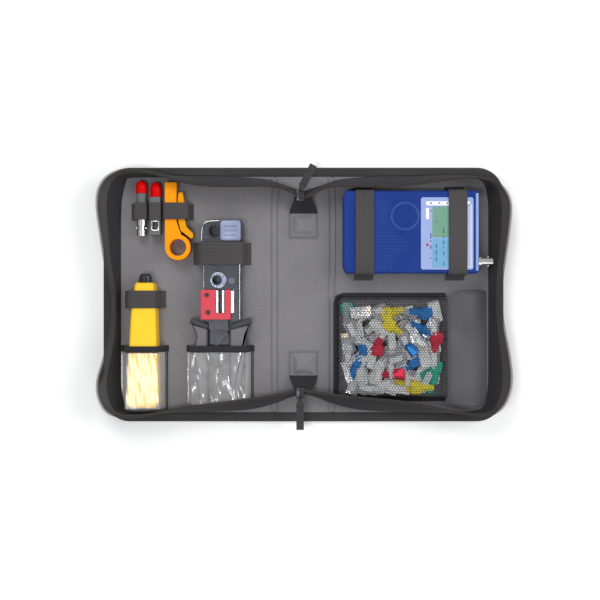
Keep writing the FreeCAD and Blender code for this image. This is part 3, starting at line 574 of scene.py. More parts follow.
def piece(name: str, bm: Shape, finishes: Sequence[str], body: str | None, wall: float = 0.0,
          bevel: float = 0.0, levels: int = 0, flat: bool = False, slot: str | None = None) -> Solid:
    """Turn a bmesh into a finished piece.

    Args:
        name: The piece's name.
        bm: Its shape, which is freed.
        finishes: Finish names, by material index.
        body: The body it rides on, or None for a piece that is attached later or left in place.
        wall: A sheet's thickness, or 0.
        bevel: The width of its rounded edges, or 0.
        levels: Subdivision levels.
        flat: Whether its faces stay flat-shaded.
        slot: The record's slot, if not its first finish's; it is not used.

    Returns:
        The new object, at the origin.
    """
    obj = stand(name, bm)
    for finish in finishes:
        obj.data.materials.append(WARDROBE.get(finish))
    if levels:
        sub = obj.modifiers.new("round", "SUBSURF")
        sub.levels = sub.render_levels = levels
    if wall:
        solid = obj.modifiers.new("wall", "SOLIDIFY")
        solid.thickness = wall
        solid.offset = -1.0
    if bevel:
        round_edge = obj.modifiers.new("edges", "BEVEL")
        round_edge.width = bevel
        round_edge.segments = 2
        round_edge.limit_method = "ANGLE"
        round_edge.angle_limit = BEVEL_ANGLE
    if levels or wall or bevel:
        settle(obj)
    obj.data.polygons.foreach_set("use_smooth", [not flat] * len(obj.data.polygons))
    if not flat:
        obj.data.set_sharp_from_angle(angle=SHARP_ANGLE)
    slot or SLOT_OF.get(finishes[0], finishes[0])
    if body:
        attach(obj, body)
    LOG.info("%s: %d faces", name, len(obj.data.polygons))
    return obj


def sheet_mesh(columns: int, rows: int, place: Callable[[float, float], Vector],
               flat: Spot) -> Shape:
    """A grid laid on a surface, with its flat size as a UV map named path.

    Args:
        columns: Faces along u.
        rows: Faces along v.
        place: The surface, from u and v in 0..1 to a point.
        flat: The sheet's size along u and v, in metres.

    Returns:
        The sheet as a bmesh.
    """
    bm = bmesh.new()
    bmesh.ops.create_grid(bm, x_segments=columns, y_segments=rows, size=0.5)
    layer = bm.loops.layers.uv.new("path")
    for face in bm.faces:
        for loop in face.loops:
            u, v = loop.vert.co.x + 0.5, loop.vert.co.y + 0.5
            loop[layer].uv = (u * flat[0], v * flat[1])
    for vert in bm.verts:
        vert.co = place(vert.co.x + 0.5, vert.co.y + 0.5)
    return bm


def lying(columns: int, rows: int, place: Callable[[float, float], Vector], flat: Spot) -> Shape:
    """A sheet laid on a surface, as sheet_mesh makes it, with its faces turned upwards.

    Args:
        columns: Faces along u.
        rows: Faces along v.
        place: The surface, from u and v in 0..1 to a point.
        flat: The sheet's size along u and v, in metres.

    Returns:
        The sheet as a bmesh.
    """
    bm = sheet_mesh(columns, rows, place, flat)
    face_up(bm)
    return bm


def face_up(bm: Shape) -> None:
    """Turn a sheet's faces upwards."""
    bm.normal_update()
    if sum(f.normal.z * f.calc_area() for f in bm.faces) < 0:
        bmesh.ops.reverse_faces(bm, faces=bm.faces)


def block(size: Sequence[float], at: Vector, bevel: float = 0.0, turn: Matrix | None = None,
          into: Shape | None = None, segments: int = 2) -> Shape:
    """A block about a point, with rounded edges.

    Args:
        size: Its size along each axis.
        at: Its middle.
        bevel: The width of its rounded edges, or 0.
        turn: How it is turned about its middle.
        into: The shape to add it to, if any.
        segments: Faces round it.

    Returns:
        The shape, or the one that it was added to.
    """
    bm = bmesh.new()
    bmesh.ops.create_cube(bm, size=1.0, matrix=Matrix.Diagonal((*size, 1.0)))
    if bevel:
        round_off(bm, bm.edges[:], bevel, segments)
    return seated(bm, at, turn, into)


def merge(into: Shape | None, bm: Shape) -> Shape:
    """Add one bmesh to another, or hand it back when there is none.

    Args:
        into: The shape to add it to, if any.
        bm: The shape to add, which is freed.

    Returns:
        The shape, or the one that it was added to.
    """
    if into is None:
        return bm
    mesh = bpy.data.meshes.new("merge")
    bm.to_mesh(mesh)
    bm.free()
    into.from_mesh(mesh)
    bpy.data.meshes.remove(mesh)
    return into


def drum(radius: float, height: float, at: Vector, bevel: float = 0.0, segments: int = 28,
         turn: Matrix | None = None, into: Shape | None = None, radius_top: float | None = None) -> Shape:
    """A round piece about a point, its axis along Z before it is turned.

    Args:
        radius: Its radius.
        height: Its height.
        at: Its middle.
        bevel: The width of its rounded edges, or 0.
        segments: Faces round it.
        turn: How it is turned about its middle.
        into: The shape to add it to, if any.
        radius_top: Its radius at the top, if another.

    Returns:
        The shape, or the one that it was added to.
    """
    bm = bmesh.new()
    bmesh.ops.create_cone(bm, cap_ends=True, segments=segments, radius1=radius,
                          radius2=radius if radius_top is None else radius_top, depth=height)
    if bevel:
        rims = [e for e in bm.edges if abs(e.verts[0].co.z - e.verts[1].co.z) < TINY]
        round_off(bm, rims, bevel)
    return seated(bm, at, turn, into)


def rod(a: Vector, b: Vector, radius: float, into: Shape | None = None, segments: int = 8,
        stretch: float = 1.0, bevel: float = 0.0) -> Shape:
    """A round rod from one point to another."""
    return drum(radius, (b - a).length * stretch, (a + b) / 2, bevel, segments, facing(b - a, "Z", "Y"), into)


def bead(line: Sequence[Vector], radius: float, into: Shape | None = None, segments: int = 8,
         stretch: float = 1.05) -> Shape:
    """A thin round bead along a line.

    Args:
        line: The points to follow.
        radius: Its radius.
        into: The shape to add it to, if any.
        segments: Faces round it.
        stretch: Each rod's length, as a factor of the gap.

    Returns:
        The shape, or the one that it was added to.
    """
    into = into or bmesh.new()
    for a, b in zip(line, line[1:]):
        rod(a, b, radius, into, segments, stretch)
    return into


def ring(radius: float, wire: float, at: Vector, turn: Matrix | None = None, into: Shape | None = None,
         segments: int = 40) -> Shape:
    """A round wire ring about a point.

    Args:
        radius: Its radius.
        wire: The wire's radius.
        at: Its middle.
        turn: How it is turned about its middle.
        into: The shape to add it to, if any.
        segments: Faces round it.

    Returns:
        The shape, or the one that it was added to.
    """
    bm = bmesh.new()
    bmesh.ops.create_circle(bm, segments=10, radius=wire,
                            matrix=Matrix.Translation((radius, 0, 0)) @ Matrix.Rotation(QUARTER, 4, "X"))
    bmesh.ops.spin(bm, geom=bm.verts[:] + bm.edges[:], cent=(0, 0, 0), axis=(0, 0, 1), angle=math.tau,
                   steps=segments, use_merge=True)
    bmesh.ops.remove_doubles(bm, verts=bm.verts, dist=TINY)
    bmesh.ops.recalc_face_normals(bm, faces=bm.faces)
    return seated(bm, at, turn, into)


def plate(points: Sequence[Vector], height: float, corner: float = 0.0, edge: float = 0.0,
          into: Shape | None = None) -> Shape:
    """A flat outline raised by a height, with rounded corners and a rounded top edge.

    Args:
        points: The outline's corners.
        height: How far it is raised.
        corner: The radius of its corners, or 0.
        edge: The width of its rounded top edge, or 0.
        into: The shape to add it to, if any.

    Returns:
        The shape, or the one that it was added to.
    """
    bm = bmesh.new()
    face = bm.faces.new([bm.verts.new(p) for p in points])
    top = bmesh.ops.extrude_face_region(bm, geom=[face], use_keep_orig=True)
    verts = [v for v in top["geom"] if isinstance(v, bmesh.types.BMVert)]
    bmesh.ops.translate(bm, vec=(0, 0, height), verts=verts)
    bmesh.ops.recalc_face_normals(bm, faces=bm.faces)
    if corner:
        upright = [e for e in bm.edges if abs(e.verts[0].co.z - e.verts[1].co.z) > height * 0.5]
        round_off(bm, upright, corner, 6)
    if edge:
        level = max(v.co.z for v in bm.verts)
        rim = [e for e in bm.edges if all(abs(v.co.z - level) < TINY for v in e.verts)]
        round_off(bm, rim, edge)
    return merge(into, bm)


def stitches(bm: Shape | None, path: Sequence[Vector], pitch: float = 0.0034, long: float = 0.0022,
             thick: float = 0.00045) -> Shape:
    """Thread lying along a path, one short stitch after another.

    Args:
        bm: The shape to add the thread to, if any.
        path: The points to follow.
        pitch: The distance from stitch to stitch.
        long: A stitch's length.
        thick: The thread's thickness.

    Returns:
        The thread, with these stitches added.
    """
    into = bm or bmesh.new()
    for a, b in zip(path, path[1:]):
        run = b - a
        count = max(int(run.length / pitch), 1)
        turn = facing(run)
        for i in range(count):
            at = a + run * ((i + 0.5) / count)
            block((min(long, run.length / count * 0.7), thick, thick * 0.8), at, thick * 0.25, turn, into, 1)
    return into


def strap_mesh(section: Sequence[Vector], across: Vector, steps: int = 6, rounds: int = 10) -> Shape:
    """A flat strap that follows a section and is swept sideways by its width.

    Args:
        section: Corner points of the strap's run.
        across: The strap's width, as a vector.
        steps: Faces across the width.
        rounds: Faces to each stretch of the run.

    Returns:
        The strap as a one-sided sheet.
    """
    points = curve_through(section, rounds)
    lengths = [0.0]
    for a, b in zip(points, points[1:]):
        lengths.append(lengths[-1] + (b - a).length)
    total = lengths[-1]

    def place(u: float, v: float) -> Vector:
        """The sheet's point: u along the run, v across.

        Args:
            u: The share of the way along, 0 to 1.
            v: The share of the way across, 0 to 1.

        Returns:
            The point.
        """
        i = min(int(u * (len(points) - 1)), len(points) - 2)
        t = u * (len(points) - 1) - i
        return points[i].lerp(points[i + 1], t) + across * v

    return sheet_mesh(len(points) - 1, steps, place, (total, across.length))


def curve_through(points: Sequence[Vector], steps: int) -> list[Vector]:
    """A smooth line that starts and ends on a list of points and rounds the corners between.

    Args:
        points: The points to go through.
        steps: Points to each stretch.

    Returns:
        The line's points.
    """
    data = bpy.data.curves.new("line", "CURVE")
    data.dimensions = "3D"
    data.resolution_u = steps
    spline = data.splines.new("NURBS")
    spline.points.add(len(points) - 1)
    for knot, point in zip(spline.points, points):
        knot.co = (*point, 1.0)
    spline.order_u = 3
    spline.use_endpoint_u = True
    holder = bpy.data.objects.new("line", data)
    mesh = bpy.data.meshes.new_from_object(holder)
    line = [v.co.copy() for v in mesh.vertices]
    bpy.data.objects.remove(holder)
    bpy.data.curves.remove(data)
    bpy.data.meshes.remove(mesh)
    return line


def mm(x: float, y: float, z: float = 0.0) -> Vector:
    """A point given in millimetres."""
    return Vector((x, y, z)) * MM


class Side(Enum):
    """One half of the open case; its value is the sign of its X."""

    LEFT = -1
    RIGHT = 1

    @property
    def body(self) -> str:
        """The cover's body."""
        return f"{self.name.lower()}_cover"

    def blend(self, obj: Solid, start: float, end: float) -> None:
        """Bake a piece's transform into its mesh, where it stands."""
        self.body
        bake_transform(obj)


# ------------------------------------------------------------------ the case


@dataclass
class Outline:
    """The edge of one cover, from the spine at the top round to the spine at the bottom, in millimetres."""

    side: Side
    start: float = 33.4
    reach: float = 232.5
    half: float = 147.0
    corner: float = 30.0

    def at(self, u: float) -> tuple[Vector, Vector]:
        """A point of the edge and the way outwards there.

        Args:
            u: The share of the way round, 0 to 1.

        Returns:
            The point and the outward direction, both in millimetres.
        """
        flat = self.reach - self.corner - self.start
        arc = self.corner * math.pi / 2
        long = 2 * (self.half - self.corner)
        s = u * (2 * flat + 2 * arc + long)
        if s < flat:
            point, out = Vector((self.start + s, self.half, 0)), Vector((0, 1, 0))
        elif s < flat + arc:
            point, out = self.bend(self.half - self.corner, math.pi / 2 - (s - flat) / self.corner)
        elif s < flat + arc + long:
            down = self.half - self.corner - (s - flat - arc)
            point, out = Vector((self.reach, down, 0)), Vector((1, 0, 0))
        elif s < flat + 2 * arc + long:
            point, out = self.bend(self.corner - self.half, -(s - flat - arc - long) / self.corner)
        else:
            rest = s - flat - 2 * arc - long
            point, out = Vector((self.reach - self.corner - rest, -self.half, 0)), Vector((0, -1, 0))
        sign = self.side.value
        return Vector((point.x * sign, point.y, 0)), Vector((out.x * sign, out.y, 0))

    def offset(self, u: float, by: float) -> Vector:
        """A point of the edge moved outwards, in millimetres."""
        point, out = self.at(u)
        return point + out * by

    def bend(self, middle: float, angle: float) -> tuple[Vector, Vector]:
        """A point on a corner's arc and the way outwards there."""
        out = Vector((math.cos(angle), math.sin(angle), 0))
        return Vector((self.reach - self.corner, middle, 0)) + out * self.corner, out


@dataclass
class EdgeBinding:
    """The woven band folded over the edge of the covers and the spine."""

    overlap: float = 9.6
    top: float = 4.3
    proud: float = 1.3
    wall: float = 0.9
    width: float = 0.016
    tuck: float = 0.3
    flat_share: float = 0.62
    least: float = 0.1
    spine_reach: float = 33.6
    seams: Spot = (1.6, 8.0)
    bend: Spot = (29.0, 37.0)

    def section(self, v: float) -> Spot:
        """The band's section: how far out it is and how high, from its inner edge round to below.

        Args:
            v: The share of the way round the section.

        Returns:
            How far out it is and how high, in millimetres.
        """
        if v < self.flat_share:
            t = v / self.flat_share
            z = LINING_TOP + 0.15 + (self.top - LINING_TOP) * smooth(3 * t)
            return lerp(-self.overlap, -self.tuck, t), z
        angle = (v - self.flat_share) / (1 - self.flat_share) * math.pi
        middle = self.top * 0.53
        z = middle + (self.top + 0.15 - middle) * math.cos(angle) * 0.98
        return -self.tuck + (self.proud + self.tuck) * math.sin(angle), z

    def cover(self, side: Side) -> None:
        """The band along one cover's three free edges, with its stitching.

        Args:
            side: The cover.
        """
        line = Outline(side)

        def place(u: float, v: float) -> Vector:
            """A point of the band."""
            reach, z = self.section(v)
            return mm(*line.offset(u, reach).xy, max(z, self.least))

        bm = lying(260, 14, place, (0.62, self.width))
        name = side.name.lower()
        band = piece(f"{name}_edge_binding", bm, ["binding"], side.body, wall=self.wall * MM)
        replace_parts(band, f"{name}_webbing")
        thread = None
        for depth in self.seams:
            path = [mm(*line.offset(i / 90, -depth).xy, self.top + 0.2) for i in range(91)]
            thread = stitches(thread, path)
        piece(f"{name}_edge_stitching", thread, ["thread"], side.body)

    def spine(self) -> None:
        """The band along the spine's two short ends, in one half for each cover."""
        for sign, word in ENDS:
            for side in Side:
                self.end(sign, word, side)

    def end(self, sign: int, word: str, side: Side) -> None:
        """Half of the band at one end of the spine.

        Args:
            sign: 1 at the top, -1 at the bottom.
            word: The end's word in names.
            side: The cover.
        """
        half = Outline(side).half
        limit = self.spine_reach

        def place(u: float, v: float) -> Vector:
            """A point of the band."""
            reach, z = self.section(v)
            return mm(side.value * limit * u, sign * (half + reach), max(z, self.least))

        bm = lying(24, 14, place, (limit * MM, self.width))
        name = f"spine_{word}_binding_{side.name.lower()}"
        band = piece(name, bm, ["binding"], None, wall=self.wall * MM)
        side.blend(band, *self.bend)
        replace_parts(band, "spine_webbing")
        thread = None
        for depth in self.seams:
            y = sign * (half - depth)
            thread = stitches(thread, [mm(side.value * limit * i / 6, y, self.top + 0.2) for i in range(7)])
        side.blend(piece(f"{name}_stitching", thread, ["thread"], None), *self.bend)


@dataclass
class Creases:
    """The two welded creases that the case folds along: a double line inside and a bridge outside."""

    middle: float = 33.0
    half_width: float = 6.6
    half: float = 136.8
    ridge: float = 1.1
    skin_bend: Spot = (28.5, 37.5)
    gap: Spot = (32.3, 33.7)
    gap_half: float = 146.4
    gap_bend: Spot = (32.5, 33.5)

    def profile(self, across: float) -> float:
        """The skin's height at a place across the crease: two ridges with a groove between.

        Args:
            across: The distance from the crease's middle, in millimetres.

        Returns:
            The height, in millimetres.
        """
        twin = math.exp(-((abs(across) - 3.4) / 0.85) ** 2)
        groove = math.exp(-(across / 1.5) ** 2)
        return LINING_TOP + 0.12 + self.ridge * twin - 0.3 * groove

    def build(self) -> None:
        """Make both creases."""
        for side in Side:
            self.inside(side)
            self.outside(side)

    def inside(self, side: Side) -> None:
        """The welded skin over the gap between two linings.

        Args:
            side: The cover.
        """

        def place(u: float, v: float) -> Vector:
            """A point of the skin.

            Args:
                u: The share of the way along, 0 to 1.
                v: The share of the way across, 0 to 1.

            Returns:
                The point.
            """
            across = lerp(-self.half_width, self.half_width, u)
            edge = smooth(min((1 - abs(2 * u - 1)) * 8, 1))
            z = lerp(LINING_TOP - 0.1, self.profile(across), edge)
            return mm(side.value * self.middle + across, lerp(-self.half, self.half, v), z)

        bm = sheet_mesh(44, 60, place, (2 * self.half_width * MM, 2 * self.half * MM))
        side.blend(piece(f"{side.name.lower()}_crease", bm, ["lining"], None), *self.skin_bend)

    def outside(self, side: Side) -> None:
        """The outer cover's strip across the gap between two panels.

        Args:
            side: The cover.
        """

        def place(u: float, v: float) -> Vector:
            """A point of the strip."""
            return mm(side.value * lerp(*self.gap, u), lerp(-self.gap_half, self.gap_half, v), 0.06)

        bm = sheet_mesh(10, 4, place, (0.0014, 0.2928))
        strip = piece(f"{side.name.lower()}_outer_crease", bm, ["outer_leatherette"], None, wall=0.0004)
        side.blend(strip, *self.gap_bend)


@dataclass(frozen=True)
class Station:
    """A place along a gusset wall, in millimetres: its foot on the cover, its rim and the rim's height."""

    foot_x: float
    foot_y: float
    rim_x: float
    rim_y: float
    height: float = 31.0


LEFT_WALL = tuple(Station(*row) for row in (
    (-1, 121, -3, 111, 24.2), (-14, 124, -11, 117, 24.8), (-30, 130, -26, 122.5, 28),
    (-46, 134.5, -42, 124.5, 30.5), (-66, 137, -66, 124), (-110, 138, -108, 123.5), (-145, 138, -142, 129),
    (-175, 138, -172, 139.5), (-206, 138, -205, 144), (-209, 132, -229, 133), (-214.5, 108, -237.5, 110),
    (-214.5, 68, -231.5, 68), (-214.5, 30, -225.5, 30), (-214.5, -2, -216.5, -2), (-214.5, -40, -219, -40),
    (-214.5, -75, -228, -75), (-214.5, -108, -238, -106), (-209, -132, -228, -135),
    (-206, -138, -203, -141), (-175, -138, -175, -138), (-145, -138, -145, -130), (-105, -137, -105, -126),
    (-66, -134.5, -66, -120.5), (-46, -131, -45, -117.5, 30.5), (-28, -125, -28, -115, 28),
    (-13, -119, -13, -112, 24.8), (-1, -116, -4, -109.5, 24.2),
))
RIGHT_WALL = tuple(Station(*row) for row in (
    (1, 121, 0, 111, 24.2), (14, 124, 13, 117, 24.8), (30, 130, 24, 122.5, 28), (46, 134.5, 40, 125, 30.5),
    (66, 137, 64, 123.5), (100, 138, 100, 123.5), (135, 138, 136, 127), (165, 138, 165, 131.5),
    (195, 138, 195, 135), (212, 134, 222, 129), (217, 112, 237.5, 110), (217, 80, 235, 78),
    (217, 40, 229.5, 40), (217, 5, 224.5, 5), (217, -30, 226.5, -30), (217, -70, 235, -70),
    (217, -108, 238.5, -106), (213, -133, 225, -135), (200, -138, 200, -139), (170, -138, 168, -133.5),
    (135, -138, 135, -126), (100, -137, 98, -121), (66, -134.5, 64, -118), (46, -131, 42, -116, 30.5),
    (28, -125, 27, -113.5, 28), (13, -119, 12, -112, 24.8), (1, -116, -2, -109.5, 24.2),
))


@dataclass
class GussetWall:
    """One cover's standing cloth wall, with the zip's tape and teeth along its rim."""

    side: Side
    stations: Sequence[Station]
    foot_height: float = 3.7
    tape: float = 7.0
    split: float = 62.0
    tooth_pitch: float = 2.1
    height: float = 27.0
    bend: Spot = (12.0, 48.0)
    feet: list[Vector] = field(default_factory=list)
    rims: list[Vector] = field(default_factory=list)

    def __post_init__(self) -> None:
        """Run smooth lines through the feet and the rims."""
        self.feet = curve_through([mm(s.foot_x, s.foot_y, self.foot_height) for s in self.stations], 8)
        self.rims = curve_through([mm(s.rim_x, s.rim_y, s.height) for s in self.stations], 8)

    def point(self, i: int, t: float) -> Vector:
        """A point of the wall.

        Args:
            i: The place along the wall.
            t: The height, 0 at the foot and 1 at the rim.

        Returns:
            The point, with the cloth's sag and folds.
        """
        foot, rim = self.feet[i], self.rims[i]
        base = foot.lerp(rim, t ** 1.7)
        base.z = lerp(foot.z, rim.z, t)
        share = i / len(self.feet)
        fold = math.sin(share * 31) * 0.5 + math.sin(share * 74 + 1.3) * 0.35
        outward = (base - Vector((self.side.value * COVER_MIDDLE, 0, base.z))).normalized()
        return base + outward * (0.8 + fold) * math.sin(math.pi * t) * MM

    def stretches(self) -> Iterable[tuple[str, int, int]]:
        """The wall's end at the top, its run round the cover and its end at the bottom.

        Returns:
            Each stretch's name, first place and last place.
        """
        inside = [i for i, p in enumerate(self.feet) if abs(p.x) > self.split * MM]
        yield "top_end", 0, inside[0]
        yield "side", inside[0], inside[-1]
        yield "bottom_end", inside[-1], len(self.feet) - 1

    def build(self) -> None:
        """Make the wall in its three stretches."""
        word = self.side.name.lower()
        for name, first, last in self.stretches():
            parts = self.stretch(f"{word}_gusset_{name}", first, last)
            for part in parts:
                if name == "side":
                    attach(part, self.side.body)
                else:
                    self.side.blend(part, *self.bend)
            nodes = (f"{word}_gusset", f"{word}_zip") if name == "side" else ("gusset_ends",)
            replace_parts(parts[0], nodes[0])
            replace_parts(parts[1], nodes[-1])

    def stretch(self, name: str, first: int, last: int) -> list[Solid]:
        """The cloth, tape, seam and teeth of one stretch.

        Args:
            name: The stretch's name.
            first: Its first place along the wall.
            last: Its last place along the wall.

        Returns:
            The cloth, the tape, the seam and the teeth.
        """
        count = last - first
        run = sum((self.feet[i + 1] - self.feet[i]).length for i in range(first, last))
        tape_from = 1 - self.tape / self.height

        def cloth(u: float, v: float) -> Vector:
            """A point of the cloth."""
            return self.point(first + round(u * count), v * 0.98)

        def tape(u: float, v: float) -> Vector:
            """A point of the zip's tape, on the inner face and over the rim."""
            i = first + round(u * count)
            return self.point(i, lerp(tape_from, 1.0, v)) + self.inward(i) * 0.9

        wall = self.outwards(sheet_mesh(count, 10, cloth, (run, 0.028)))
        band = self.outwards(sheet_mesh(count, 4, tape, (run, self.tape * MM)))
        path = [self.point(i, tape_from + 0.02) + self.inward(i) * 1.35 for i in range(first, last + 1)]
        seam = stitches(None, path)
        return [
            piece(name, wall, ["gusset_fabric"], None, wall=0.0013),
            piece(f"{name}_zip_tape", band, ["zip_tape"], None, wall=0.0009),
            piece(f"{name}_seam", seam, ["thread"], None),
            piece(f"{name}_teeth", self.teeth(first, last), ["zip_coil"], None, flat=True),
        ]

    def inward(self, i: int) -> Vector:
        """One millimetre towards the middle of the cover.

        Args:
            i: The place along the wall.

        Returns:
            The step.
        """
        way = Vector((self.side.value * COVER_MIDDLE, 0, 0)) - self.rims[i]
        way.z = 0
        return way.normalized() * MM

    def outwards(self, bm: Shape) -> Shape:
        """Turn a wall's faces away from the middle of the cover.

        Args:
            bm: The shape.

        Returns:
            The same shape.
        """
        bm.normal_update()
        middle = Vector((self.side.value * COVER_MIDDLE, 0, 0.015))
        if sum(f.normal.dot(f.calc_center_median() - middle) for f in bm.faces) < 0:
            bmesh.ops.reverse_faces(bm, faces=bm.faces)
        return bm

    def teeth(self, first: int, last: int) -> Shape:
        """The zip's teeth along the rim, one block after another.

        Args:
            first: Its first place along the wall.
            last: Its last place along the wall.

        Returns:
            The teeth as one shape.
        """
        into = bmesh.new()
        spare = 0.0
        pitch = self.tooth_pitch * MM
        for i in range(first, last):
            run = self.rims[i + 1] - self.rims[i]
            turn = facing(run)
            while spare < run.length:
                at = self.rims[i] + run.normalized() * spare + Vector((0, 0, 0.35 * MM))
                block((1.25 * MM, 2.9 * MM, 1.5 * MM), at, 0.0, turn, into)
                spare += pitch
            spare -= run.length
        return into


@dataclass
class SpineTrim:
    """The stitched patches on the spine and the tapes that hold the zip's ends."""

    width: float = 34.0
    inner: float = 65.5
    outer: float = 97.0
    rise: float = 112.0

    def build(self) -> None:
        """Make the trim at both ends."""
        for sign, word in ENDS:
            patch = self.patch(sign, word)
            tape = self.tape(sign, word)
            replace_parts(patch, "zip_end_anchors")
            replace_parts(tape, "zip_end_anchors")

    def patch(self, sign: int, word: str) -> Solid:
        """The padded leatherette patch with its stitched edge.

        Args:
            sign: 1 at the top, -1 at the bottom.
            word: The end's word in names.

        Returns:
            The patch.
        """

        def place(u: float, v: float) -> Vector:
            """A point of the patch.

            Args:
                u: The share of the way along, 0 to 1.
                v: The share of the way across, 0 to 1.

            Returns:
                The point.
            """
            rim = min(u, 1 - u, v, 1 - v)
            crown = smooth((rim - 0.09) / 0.25)
            puff = (3.2 + 0.7 * math.sin(6 * u + 2) + 0.4 * math.sin(9 * u + 7 * v)) * crown
            y = sign * lerp(self.inner, self.outer, v)
            return mm((u - 0.5) * self.width, y, LINING_TOP + 1.0 + puff)

        bm = lying(40, 36, place, (self.width * MM, (self.outer - self.inner) * MM))
        patch = piece(f"{word}_spine_patch", bm, ["patch_leatherette"], "spine", wall=0.001)
        near, far = self.inner + 1.6, self.outer - 1.6
        side = self.width / 2 - 1.6
        z = LINING_TOP + 1.25
        corners = ((-side, far), (-side, near), (side, near), (side, far))
        thread = stitches(None, [mm(x, sign * y, z) for x, y in corners], 0.0026, 0.0018, 0.0007)
        piece(f"{word}_spine_patch_stitching", thread, ["thread"], "spine")
        return patch

    def tape(self, sign: int, word: str) -> Solid:
        """The dark tape that rises from the patch to the meeting of the zip's ends.

        Args:
            sign: 1 at the top, -1 at the bottom.
            word: The end's word in names.

        Returns:
            The tape.
        """

        def place(u: float, v: float) -> Vector:
            """A point of the tape.

            Args:
                u: The share of the way along, 0 to 1.
                v: The share of the way across, 0 to 1.

            Returns:
                The point.
            """
            half = lerp(self.width / 2 - 0.6, self.width / 2 - 6.5, smooth(v))
            y = sign * lerp(self.outer - 3, self.rise, v)
            crease = 0.5 * math.sin(7 * u + 3 * v)
            return mm((2 * u - 1) * half, y, LINING_TOP + 0.9 + 15 * v ** 1.4 + crease * v)

        bm = lying(24, 20, place, (self.width * MM, 0.022))
        tape = piece(f"{word}_zip_end_tape", bm, ["gusset_fabric"], "spine", wall=0.0011)
        return tape


@dataclass
class ZipPulls:
    """The two sliders and their woven pulls."""

    shift: float = -4.0
    reach: float = 119.0
    tilt: float = -28.0

    def build(self) -> None:
        """Make both sliders and pulls."""
        for sign, word in ENDS:
            self.slider(sign, word)
        self.pull("top_pull_tab", "top_pull", 1, 33.0, self.tilt)
        self.pull("bottom_pull_tab", "bottom_pull", -1, 36.0, 0.0)

    def slider(self, sign: int, word: str) -> None:
        """A slider: two plates joined by a wedge, with a bail over the top.

        Args:
            sign: 1 at the top, -1 at the bottom.
            word: The end's word in names.
        """
        y = sign * (self.reach - 5.5)
        bm = block((0.0085, 0.0125, 0.0011), mm(self.shift, y, 26.4), 0.0004)
        block((0.0085, 0.0125, 0.0011), mm(self.shift, y, 23.2), 0.0004, into=bm)
        block((0.0022, 0.006, 0.003), mm(self.shift, y + sign * 2.5, 24.8), 0.0005, into=bm)
        bail = curve_through([mm(self.shift, y - sign * 4, 26.6), mm(self.shift, y - sign * 3.6, 29.4),
                              mm(self.shift, y + sign * 3.6, 29.6), mm(self.shift, y + sign * 4.4, 26.6)], 6)
        bead(bail, 0.0009, bm, 10, 1.15)
        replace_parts(piece(f"{word}_zip_slider", bm, ["slider_metal"], "spine"), "zip_sliders")

    def pull(self, node: str, body: str, sign: int, long: float, tilt: float) -> None:
        """A woven pull: a folded tape stitched across, with a cut end.

        Args:
            node: The CAD node it stands for.
            body: The body it rides on.
            sign: 1 at the top, -1 at the bottom.
            long: Its length, in millimetres.
            tilt: Its turn about the pivot, in degrees.
        """
        turn = Matrix.Rotation(math.radians(tilt), 4, "Z")
        pivot = mm(self.shift, sign * self.reach, 28.1)
        width = 8.6

        def place(u: float, v: float) -> Vector:
            """A point of the pull.

            Args:
                u: The share of the way along, 0 to 1.
                v: The share of the way across, 0 to 1.

            Returns:
                The point.
            """
            narrow = lerp(0.55, 1.0, smooth(v * 5))
            along = sign * long * v
            lift = 0.7 + 0.5 * math.sin(v * 5)
            return pivot + turn @ mm((u - 0.5) * width * narrow, along, lift)

        bm = lying(8, 30, place, (width * MM, long * MM))
        tab = piece(node.replace("_tab", ""), bm, ["binding"], body, wall=0.0014)
        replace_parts(tab, node)
        thread = None
        for share in (0.24, 0.3):
            ends = [pivot + turn @ mm(x, sign * long * share, 2.1) for x in (-3.6, 3.6)]
            thread = stitches(thread, ends, 0.0016, 0.0012)
        piece(f"{node}_stitching", thread, ["thread"], body)


# ------------------------------------------------------------------ straps, pouches and the mesh pocket


